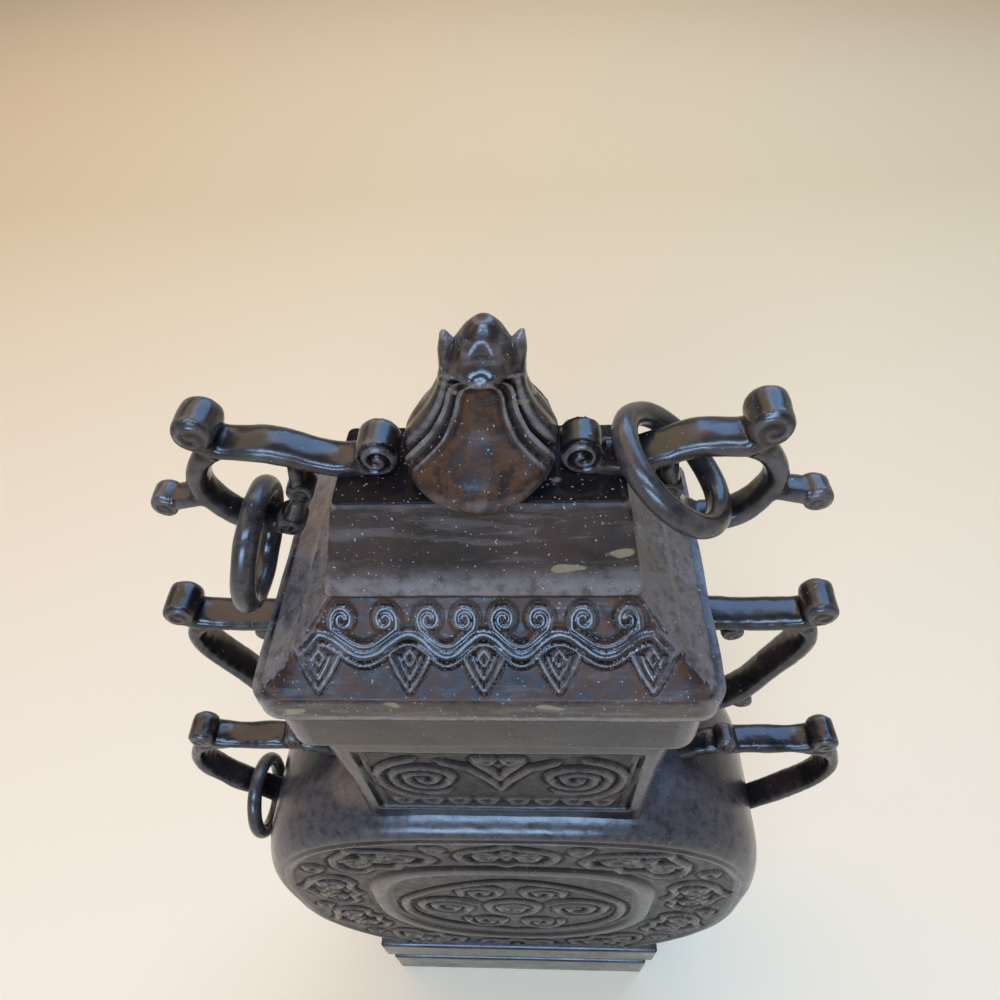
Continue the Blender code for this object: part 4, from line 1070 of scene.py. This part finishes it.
def pull_ear(side):
    """A pointed ear: a section extruded upwards and drawn in at every step."""
    share, lean, rise = BUD_EARS[0]
    x = FINIAL_LEAN * rise + side * FINIAL_RADIUS * lean
    deselect()
    bpy.ops.mesh.primitive_circle_add(vertices=16, radius=share * FINIAL_RADIUS, fill_type="NGON",
                                      location=(x, 0, PLATEAU + rise * FINIAL_HEIGHT))
    ear = bpy.context.object
    bpy.ops.object.transform_apply(location=True, rotation=True, scale=True)
    bpy.ops.object.mode_set(mode="EDIT")
    bpy.ops.mesh.select_all(action="SELECT")
    for next_share, next_lean, next_rise in BUD_EARS[1:]:
        next_x = FINIAL_LEAN * next_rise + side * FINIAL_RADIUS * next_lean
        lift = (next_rise - rise) * FINIAL_HEIGHT
        bpy.ops.mesh.extrude_region_move(TRANSFORM_OT_translate={"value": (next_x - x, 0, lift)})
        smaller = next_share / share
        bpy.ops.transform.resize(value=(smaller, smaller, 1),
                                 center_override=(next_x, 0, PLATEAU + next_rise * FINIAL_HEIGHT))
        x, share, rise = next_x, next_share, next_rise
    bpy.ops.object.mode_set(mode="OBJECT")
    return ear


bud_sheet = wrapped_sheet("bud", 64, 90, bud_surface)
finial = fuse("lid_finial", [bud_sheet, pull_ear(-1), pull_ear(1)], BUD_VOXEL, BUD_SMOOTHING)
print("bud is", round(FINIAL_HEIGHT * 1000, 1), "mm tall")

# %% Carve the petals
PETAL_TOP = 0.735
PETAL_EDGE = [(-0.04, 46), (0.10, 54), (0.20, 53), (0.30, 45), (0.42, 36), (0.54, 32), (0.64, 32), (0.69, 27),
              (0.72, 16), (PETAL_TOP, 0)]


def carve_bud(bud):
    """From the front petal's middle outwards: matte petal, thin edge, spoon, lip, deep cut, outer petal."""
    points, normals = mesh_points(bud), vertex_normals(bud)
    rise = (points[:, 2] - PLATEAU) / FINIAL_HEIGHT
    x, y = points[:, 0] - FINIAL_LEAN * rise, points[:, 1]
    radius = np.hypot(x, y)
    turn = np.degrees(np.arctan2(np.abs(x), np.abs(y)))
    edge_rise, edge_turn = zip(*PETAL_EDGE)
    edge = np.interp(rise, edge_rise, edge_turn)
    aside = np.radians(turn - edge) * radius
    wide = aside / (0.85 + 1.5 * np.clip(0.60 - rise, 0, 0.5))
    below = np.clip((PETAL_TOP - rise) / 0.03, 0, 1) * np.clip((rise - 0.14) / 0.14, 0, 1)
    edge_line = np.exp(-(wide / 0.0004) ** 2)
    spoon = np.exp(-((wide - 0.0013) / 0.0007) ** 2)
    lip = np.exp(-((wide - 0.0026) / 0.0005) ** 2)
    cut = np.exp(-((wide - 0.0038) / 0.0007) ** 2)
    swell = np.exp(-((wide - 0.0068) / 0.0018) ** 2)
    level = below * (0.0003 * edge_line - 0.0006 * spoon + 0.0007 * lip - 0.0018 * cut + 0.0006 * swell)
    inside = np.clip(-aside / 0.0006, 0, 1)
    level -= 0.0007 * inside * np.clip((PETAL_TOP - rise) / 0.03, 0, 1) * np.clip((rise - 0.25) / 0.25, 0, 1)
    level += 0.0020 * np.exp(-((rise - 0.12) / 0.14) ** 2) * np.clip(np.cos(np.radians(turn)), 0, 1) ** 2
    tuft = np.clip((rise - 0.72) / 0.04, 0, 1) * np.clip((0.93 - rise) / 0.06, 0, 1) * (np.abs(x) < 0.0060)
    ribs = np.cos(np.radians(np.degrees(np.arctan2(x, -y)) * 6) + math.pi)
    bead = np.exp(-((np.abs(x) / 0.0018) ** 2 + ((rise - PETAL_TOP) * FINIAL_HEIGHT / 0.0012) ** 2)) * (y < 0)
    level += 0.00035 * tuft * ribs + 0.0009 * bead
    collar = np.exp(-((rise - 0.005) / 0.020) ** 2)
    level += 0.0006 * collar
    set_points(bud, points + normals * level[:, None])
    bowl = np.clip((0.18 - rise) / 0.12, 0, 1) * (turn < 70)
    store(bud, "ground", np.maximum(inside * (rise < PETAL_TOP), bowl))


carve_bud(finial)
wear_surface(finial, size=0.007, depth=0.00012, seed=51)
mark_wear(finial, reach=0.00016, passes=6)
finish_piece(finial, "root", lid_jade, "lid", angle=60)

# %% [markdown]
# ## The neck and the rim
#
# The neck is a square tube with a flared top and a heavy rim. One sheet makes it: up the outside, over the
# rim and down the bore to where it started. Its front carries a sunk panel with paired scrolls beside a
# hanging point, and a row of small ovals along the foot of the panel. The back has the same sunk panel,
# plain.

# %% Neck profile
NECK_COLUMNS, NECK_ROWS = 320, 210
NECK_FOOT_DROP, NECK_FRONT_SHARE = 0.0050, 0.50


def neck_size(share):
    flare = max(0.0, share) ** 2.2
    width = NECK_WIDTH + (NECK_TOP_WIDTH - NECK_WIDTH) * flare
    depth = NECK_DEPTH + (NECK_TOP_DEPTH - NECK_DEPTH) * flare
    return width, depth


def neck_profile():
    e = EDGE_ROUND
    bottom = SHOULDER - NECK_FOOT_DROP
    rows = [(0.0, MOUTH_WIDTH, MOUTH_DEPTH, NECK_CORNER, bottom),
            (0.03, NECK_WIDTH, NECK_DEPTH, NECK_CORNER, bottom)]
    for i in range(11):
        share = i / 10
        width, depth = neck_size(share)
        rows.append((0.06 + 0.62 * share, width, depth, NECK_CORNER, SHOULDER + share * NECK_HEIGHT))
    lower_edge = [(place, turn, RIM_BOTTOM, 1) for place, turn in ((0.70, 0), (0.715, 45), (0.73, 90))]
    upper_edge = [(place, turn, RIM_TOP, -1) for place, turn in ((0.82, 90), (0.835, 45), (0.85, 0))]
    for place, turn, level, way in lower_edge + upper_edge:
        grow = e * math.sin(math.radians(turn))
        inwards = e * (1 - math.cos(math.radians(turn)))
        width, depth = RIM_WIDTH - 2 * e + 2 * grow, RIM_DEPTH - 2 * e + 2 * grow
        rows.append((place, width, depth, RIM_CORNER, level + way * inwards))
    rows += [(0.89, MOUTH_WIDTH, MOUTH_DEPTH, NECK_CORNER, RIM_TOP),
             (1.0, MOUTH_WIDTH, MOUTH_DEPTH, NECK_CORNER, bottom)]
    return rows


def neck_surface(s, t):
    width, depth, corner, z = along_profile(t, neck_profile())
    x, y = corner_square(s, width, depth, corner, NECK_FRONT_SHARE)
    return np.column_stack([x, y, z])


# %% Carve the neck
PANEL_FADE, BORDER_INSET, PAST_CORNER = 0.0007, 0.0016, 0.02


def neck_lines():
    """Lines of the panel's right half, in metres from the panel's middle."""
    scroll_middle = (0.0205, 0.0005)
    lines = [spiral(scroll_middle, 0.0105, 0.0016, 2.3, math.radians(-120), direction=1, steps=16)]
    lines.append([(0.0, -0.0075), (0.0035, 0.0005), (0.0085, 0.0085), (0.0150, 0.0125)])
    lines.append([(0.0, 0.0010), (0.0022, 0.0060), (0.0060, 0.0125)])
    lines.append(spiral((0.0032, 0.0140), 0.0026, 0.0008, 1.2, 0.0, direction=1))
    arc = [math.radians(angle) for angle in range(-70, 75, 12)]
    lines.append([(0.0185 + 0.0150 * math.cos(a), 0.0150 * math.sin(a)) for a in arc])
    return lines


def neck_ovals():
    return [(x, -0.0165) for x in (0.0045, 0.0125, 0.0205, 0.0285)]


def carve_neck(neck):
    points, normals = mesh_points(neck), vertex_normals(neck)
    share = (points[:, 2] - SHOULDER) / NECK_HEIGHT
    outer = np.abs(points[:, 1]) > MOUTH_DEPTH / 2 + 0.002
    face = (np.abs(normals[:, 1]) > 0.7) & (share > 0.0) & (share < 0.98) & outer
    half_width = NECK_WIDTH / 2 - NECK_PANEL_MARGIN
    middle = (NECK_PANEL_LOW + NECK_PANEL_HIGH) / 2
    half_height = (NECK_PANEL_HIGH - NECK_PANEL_LOW) / 2 * NECK_HEIGHT
    across, up = np.abs(points[:, 0]), (share - middle) * NECK_HEIGHT
    inside = np.clip((half_width - across) / PANEL_FADE, 0, 1)
    inside = inside * np.clip((half_height - np.abs(up)) / PANEL_FADE, 0, 1)
    level = np.where(face, -inside, 0.0)
    ground = np.zeros(len(points))
    front = face & (points[:, 1] < 0)
    flat = np.column_stack([across[front], up[front]])
    lines = nearest_line(flat, neck_lines())
    ovals = np.full(len(flat), 1.0)
    for x, z in neck_ovals():
        ovals = np.minimum(ovals, np.abs(np.hypot((flat[:, 0] - x) * 0.8, flat[:, 1] - z) - 0.0021))
        ovals = np.minimum(ovals, np.hypot(flat[:, 0] - x, flat[:, 1] - z) + 0.0002)
    border_x, border_z = half_width - BORDER_INSET, half_height - BORDER_INSET
    beside = np.abs(border_x - flat[:, 0]) + PAST_CORNER * (np.abs(flat[:, 1]) > border_z)
    above = np.abs(border_z - np.abs(flat[:, 1])) + PAST_CORNER * (flat[:, 0] > border_x)
    border = np.minimum(beside, above)
    height = np.maximum(soft_back(lines, 0.0017), 0.7 * soft_back(ovals, 0.0011))
    height = np.maximum(height, 0.5 * soft_back(border, 0.0010))
    groove = 1.2 * np.maximum(groove_beside(lines, 0.0014), groove_beside(border, 0.0008))
    within = inside[front]
    level[front] += within * np.where(height > 0.02, 0.95 * height, -0.25 * groove)
    ground[front] = within * (height < 0.02)
    set_points(neck, points + normals * (level * NECK_RELIEF)[:, None])
    store(neck, "ground", 0.7 * ground)


vase_neck = wrapped_sheet("vase_neck", NECK_COLUMNS, NECK_ROWS, neck_surface)
carve_neck(vase_neck)
wear_surface(vase_neck, size=0.025, depth=0.00018, seed=61)
mark_wear(vase_neck, reach=0.00016, passes=5)
finish_piece(vase_neck, "root", vase_jade, "vase")

# %% [markdown]
# ## The body
#
# Seen from the front the body is a broad-shouldered circle, and seen from the side it is flat with swelling
# flanks. The sheet starts at a pole in the middle of the front, runs out over the carved face, round the
# flank and in to a pole at the back. The carved face has ten cloud heads round a moulding, and a medallion
# of curling waves. The chamber inside is cut out afterwards, with the bore that leads down to it.

# %% Body profile
BODY_COLUMNS = 450
BODY_ROWS = 205
BODY_FRONT_PART, FLANK_START, FLANK_END, BODY_BACK_PART = 0.70, 0.755, 0.805, 0.86
FLAT = BODY_SIDE_FLAT / 2
FACE = BODY_THICKNESS / 2 - BODY_RELIEF
FLAT_TOLERANCE = 0.00001


def outline_radius(angle, half_width, half_height):
    power = np.where(np.sin(angle) > 0, SHOULDER_SQUARENESS, BELLY_SQUARENESS)
    x = np.abs(np.cos(angle)) / half_width
    z = np.abs(np.sin(angle)) / half_height
    return (x ** power + z ** power) ** (-1 / power)


def body_profile(t):
    """Inset from the outline, share of the radius and y, for each row."""
    turn = np.interp(t, [BODY_FRONT_PART, FLANK_START, FLANK_END, BODY_BACK_PART], [0, 90, 90, 180])
    sweep = np.radians(turn)
    inset = BODY_EDGE * (1 - np.sin(sweep))
    bulge = (FACE - FLAT) * np.cos(sweep)
    straight = np.interp(t, [FLANK_START, FLANK_END], [-FLAT, FLAT])
    y = straight - bulge
    share = np.interp(t, [0, BODY_FRONT_PART, BODY_BACK_PART, 1], [0, 1, 1, 0])
    return inset, share, y


def body_surface(s, t):
    inset, share, y = body_profile(t)
    angle = s * math.tau
    radius = outline_radius(angle, BODY_WIDTH / 2 - inset, BODY_HEIGHT / 2 - inset) * share
    return np.column_stack([radius * np.cos(angle), y, BODY_CENTRE + radius * np.sin(angle)])


# %% Lines of the face
FACE_RADIUS = BODY_WIDTH / 2 - BODY_EDGE
BODY_HEADS = 10
HEAD_MIDDLE = 0.80
MOULDING, MOULDING_HALF = 0.60, 0.0030
EDGE_LINE, EDGE_LINE_HALF, EDGE_LINE_HEIGHT = 0.978, 0.0009, 0.55


def head_half():
    """Half of a cloud head, in metres: across from its middle, out from the ring's middle line."""
    roof = [(0.0, 0.0118), (0.0022, 0.0092), (0.0060, 0.0078), (0.0110, 0.0062), (0.0152, 0.0022),
            (0.0150, -0.0030), (0.0105, -0.0066), (0.0050, -0.0058), (0.0, -0.0092)]
    curl = spiral((0.0072, 0.0004), 0.0046, 0.0010, 1.6, math.radians(60), direction=1)
    fan = [(0.0, 0.0050), (0.0020, 0.0020), (0.0, -0.0012)]
    return [smooth_path(roof, 3), curl, fan]


def medallion_lines():
    """Curling waves of the medallion's right half, in metres from its middle."""
    lines = [spiral((0.0245, 0.0), 0.0125, 0.0016, 2.2, math.radians(150), direction=-1, steps=18)]
    lines.append(spiral((0.0105, 0.0210), 0.0085, 0.0012, 1.7, math.radians(-20), direction=1))
    lines.append(spiral((0.0105, -0.0210), 0.0085, 0.0012, 1.7, math.radians(20), direction=-1))
    lines.append(smooth_path([(0.0, 0.0355), (0.0100, 0.0335), (0.0220, 0.0270), (0.0320, 0.0190),
                              (0.0400, 0.0080), (0.0405, -0.0100), (0.0310, -0.0240), (0.0180, -0.0320),
                              (0.0, -0.0370)], 3))
    lines.append(smooth_path([(0.0, 0.0110), (0.0060, 0.0085), (0.0095, 0.0020), (0.0070, -0.0060),
                              (0.0, -0.0105)], 3))
    return lines


def face_rings(share):
    """Heights of the moulding and of the line near the edge, which the back has too."""
    moulding = round_back((share - MOULDING) * FACE_RADIUS, MOULDING_HALF)
    edge_line = EDGE_LINE_HEIGHT * round_back((share - EDGE_LINE) * FACE_RADIUS, EDGE_LINE_HALF)
    return moulding, edge_line


def face_relief(x, z):
    """Height of the carving and how rough the ground is, at x and z from the middle of the face."""
    angle = np.arctan2(z, x)
    outline = outline_radius(angle, FACE_RADIUS, BODY_HEIGHT / 2 - BODY_EDGE)
    share = np.hypot(x, z) / outline
    ring_turn = math.tau / BODY_HEADS
    local = (angle - math.pi / 2 + ring_turn / 2) % ring_turn - ring_turn / 2
    across = np.abs(local) * share * FACE_RADIUS
    out = (share - HEAD_MIDDLE) * FACE_RADIUS
    heads = nearest_line(np.column_stack([across, out]), head_half())
    corner = np.hypot(across - ring_turn / 2 * share * FACE_RADIUS, out - 0.0075)
    corner_ring = np.abs(corner - 0.0022)
    waves = nearest_line(np.column_stack([np.abs(x), z]), medallion_lines())
    rosette = line_distance(np.column_stack([x, z]), spiral((0, 0), 0.0062, 0.0010, 2.0, 0.4))
    zone = (share > MOULDING + 0.06) & (share < 0.955)
    middle = share < MOULDING - 0.055
    height = np.where(zone, 0.75 * soft_back(np.minimum(heads, corner_ring), 0.0016), 0)
    height = np.where(middle, 0.85 * soft_back(np.minimum(waves, rosette), 0.0021), height)
    height = np.maximum.reduce([height, *face_rings(share)])
    groove = np.where(zone, 1.1 * groove_beside(np.minimum(heads, corner_ring), 0.0013), 0)
    groove = np.where(middle, 1.1 * groove_beside(np.minimum(waves, rosette), 0.0017), groove)
    beside_ring = groove_beside((share - MOULDING) * FACE_RADIUS, MOULDING_HALF)
    beside_ring = beside_ring * (np.abs(share - MOULDING) > 0.03)
    groove = np.maximum(groove, beside_ring)
    groove = np.maximum(groove, 0.8 * groove_beside((share - EDGE_LINE) * FACE_RADIUS, EDGE_LINE_HALF))
    raised = height > 0.02
    level = np.where(raised, 0.9 * height, -0.35 * groove)
    return level, np.where(raised, 0.0, np.where(zone | middle, 1.0, 0.0))


def carve_body(body):
    points = mesh_points(body)
    radius = np.hypot(points[:, 0], points[:, 2] - BODY_CENTRE)
    front = points[:, 1] < -FACE + FLAT_TOLERANCE
    back = points[:, 1] > FACE - FLAT_TOLERANCE
    level, ground = np.zeros(len(points)), np.zeros(len(points))
    level[front], ground[front] = face_relief(points[front, 0], points[front, 2] - BODY_CENTRE)
    angle = np.arctan2(points[back, 2] - BODY_CENTRE, points[back, 0])
    share = radius[back] / outline_radius(angle, FACE_RADIUS, BODY_HEIGHT / 2 - BODY_EDGE)
    level[back] = sum(face_rings(share))
    points[:, 1] += np.where(back, 1, -1) * level * BODY_RELIEF
    set_points(body, points)
    store(body, "ground", 0.6 * ground)


vase_body = wrapped_sheet("vase_body", BODY_COLUMNS, BODY_ROWS, body_surface)
carve_body(vase_body)
wear_surface(vase_body, size=0.045, depth=0.0003, seed=71)
wear_surface(vase_body, size=0.009, depth=0.00008, seed=72)
mark_wear(vase_body, reach=0.00014, passes=5)

# %% Hollow the body
CHAMBER_TURNS, BORE_TURNS = 64, 40
BORE_GAP, BORE_FRONT_SHARE = 0.0004, 0.3
CUTTER_STEP = 0.01


def cutter(name, rings):
    """A closed cutter: a circle primitive whose section is extruded ring by ring to its places."""
    deselect()
    bpy.ops.mesh.primitive_circle_add(vertices=len(rings[0]), radius=CUTTER_STEP, fill_type="NGON")
    tool = bpy.context.object
    tool.name = name
    bpy.ops.object.mode_set(mode="EDIT")
    bpy.ops.mesh.select_all(action="SELECT")
    for _ in rings[1:]:
        bpy.ops.mesh.extrude_region_move(TRANSFORM_OT_translate={"value": (0, 0, CUTTER_STEP)})
    bpy.ops.object.mode_set(mode="OBJECT")
    points = mesh_points(tool)
    layer = np.round(points[:, 2] / CUTTER_STEP).astype(int)
    around = (np.arctan2(points[:, 1], points[:, 0]) % math.tau) / math.tau
    turn = np.round(around * len(rings[0])).astype(int)
    table = np.array(rings)
    set_points(tool, table[layer, turn % len(rings[0])])
    close_up(tool)
    return tool


def chamber_ring(inset, y):
    angle = np.arange(CHAMBER_TURNS) * math.tau / CHAMBER_TURNS
    radius = outline_radius(angle, BODY_WIDTH / 2 - BODY_WALL - inset, BODY_HEIGHT / 2 - BODY_WALL - inset)
    x, z = radius * np.cos(angle), BODY_CENTRE + radius * np.sin(angle)
    return np.column_stack([x, np.full(CHAMBER_TURNS, y), z])


def bore_ring(z):
    turn = (np.arange(BORE_TURNS) + 0.5) / BORE_TURNS
    size = (MOUTH_WIDTH + BORE_GAP, MOUTH_DEPTH + BORE_GAP, NECK_CORNER)
    x, y = corner_square(turn, *[np.full(BORE_TURNS, value) for value in size], BORE_FRONT_SHARE)
    return np.column_stack([x, y, np.full(BORE_TURNS, z)])


def carve_out(piece, tools):
    for tool in tools:
        deselect()
        piece.select_set(True)
        bpy.context.view_layer.objects.active = piece
        cut = piece.modifiers.new("hollow", "BOOLEAN")
        cut.operation = "DIFFERENCE"
        cut.solver = "EXACT"
        cut.object = tool
        bpy.ops.object.modifier_apply(modifier=cut.name)


chamber_depth = BODY_THICKNESS / 2 - BODY_RELIEF - BODY_WALL
chamber_sections = [(BODY_EDGE, -chamber_depth), (0, BODY_EDGE - chamber_depth),
                    (0, chamber_depth - BODY_EDGE), (BODY_EDGE, chamber_depth)]
chamber = cutter("chamber", [chamber_ring(inset, y) for inset, y in chamber_sections])
bore = cutter("bore", [bore_ring(SHOULDER - 3 * BODY_WALL), bore_ring(SHOULDER + 2 * BODY_WALL)])
carve_out(vase_body, [chamber, bore])
finish_piece(vase_body, "root", vase_jade, "vase")

# %% [markdown]
# ## The foot
#
# Under the body stands a block that tapers in at its lower edge, on a plain plinth. Both are carved from
# the same stone, so they are one piece here too: two bevelled boxes, joined and hollowed where the chamber
# reaches down between them.

# %% Foot
FOOT_CUTS = 10


def select_faces(thing, wanted):
    """Go into edit mode with only the wanted faces selected."""
    bpy.ops.object.mode_set(mode="EDIT")
    bpy.ops.mesh.select_mode(type="FACE")
    bpy.ops.mesh.select_all(action="DESELECT")
    bpy.ops.object.mode_set(mode="OBJECT")
    for face in thing.data.polygons:
        face.select = wanted(face)
    bpy.ops.object.mode_set(mode="EDIT")


def foot_box(name, width, depth, low, high, taper):
    deselect()
    bpy.ops.mesh.primitive_cube_add(size=1, location=(0, 0, (low + taper + high) / 2),
                                    scale=(width, depth, high - low - taper))
    box = bpy.context.object
    box.name = name
    bpy.ops.object.transform_apply(location=True, rotation=True, scale=True)
    if taper:
        select_faces(box, lambda face: face.normal.z < -0.9)
        bpy.ops.mesh.extrude_region_move(TRANSFORM_OT_translate={"value": (0, 0, -taper)})
        narrower = (1 - 2 * taper / width, 1 - taper / depth, 1)
        bpy.ops.transform.resize(value=narrower, center_override=(0, 0, low))
        bpy.ops.object.mode_set(mode="OBJECT")
    soften = box.modifiers.new("worn arrises", "BEVEL")
    soften.width = EDGE_ROUND * 0.8
    soften.segments = 3
    bpy.ops.object.modifier_apply(modifier=soften.name)
    bpy.ops.object.mode_set(mode="EDIT")
    bpy.ops.mesh.select_all(action="SELECT")
    bpy.ops.mesh.subdivide(number_cuts=FOOT_CUTS)
    bpy.ops.object.mode_set(mode="OBJECT")
    return box


def add_foot():
    step = foot_box("vase_foot", FOOT_STEP_WIDTH, FOOT_STEP_DEPTH, FOOT_HEIGHT - EDGE_ROUND,
                    FOOT_HEIGHT + FOOT_STEP_HEIGHT, FOOT_TAPER)
    plinth = foot_box("plinth", FOOT_WIDTH, FOOT_DEPTH, 0.0, FOOT_HEIGHT, 0.0)
    deselect()
    step.select_set(True)
    bpy.context.view_layer.objects.active = step
    join = step.modifiers.new("one stone", "BOOLEAN")
    join.operation = "UNION"
    join.solver = "EXACT"
    join.object = plinth
    bpy.ops.object.modifier_apply(modifier=join.name)
    bpy.data.objects.remove(plinth, do_unlink=True)
    carve_out(step, [chamber])
    return step


vase_foot = add_foot()
wear_surface(vase_foot, size=0.030, depth=0.00015, seed=91)
mark_wear(vase_foot, reach=0.00030, passes=4)
store(vase_foot, "ground", np.zeros(len(vase_foot.data.vertices)))
finish_piece(vase_foot, "root", vase_jade, "vase")
for tool in (chamber, bore):
    bpy.data.objects.remove(tool, do_unlink=True)

# %% [markdown]
# ## The loose rings
#
# Three rings were carved free in the handles. Each hangs or lies where the construction model has it, so
# its middle and its axis are read from the model's own ring: the middle of its points, and the direction
# in which they spread least.

# %% Rings
RING_RADIUS, RING_TUBE, RING_SLIMNESS = 0.0126, 0.0025, 0.97


def ring_place(node):
    points = mesh_points(bpy.data.objects[node])
    middle = points.mean(axis=0)
    axis = np.linalg.svd(points - middle, full_matrices=False)[2][2]
    return Vector(middle), Vector(axis)


def add_ring(node, seed):
    middle, axis = ring_place(node)
    turn = axis.to_track_quat("Z", "Y").to_euler()
    deselect()
    bpy.ops.mesh.primitive_torus_add(major_radius=RING_RADIUS, minor_radius=RING_TUBE * RING_SLIMNESS,
                                     major_segments=160, minor_segments=36, location=middle, rotation=turn)
    ring = bpy.context.object
    ring.name = node + "_carved"
    bpy.ops.object.transform_apply(location=True, rotation=True, scale=True)
    wear_surface(ring, size=0.010, depth=0.00014, seed=seed)
    mark_wear(ring, reach=0.00016, passes=4)
    store(ring, "ground", np.zeros(len(ring.data.vertices)))
    finish_piece(ring, "root", ring_jade, node, angle=60)
    return ring


for seed, node in enumerate(("left_lid_ring", "right_lid_ring", "left_shoulder_ring")):
    add_ring(node, 81 + seed)
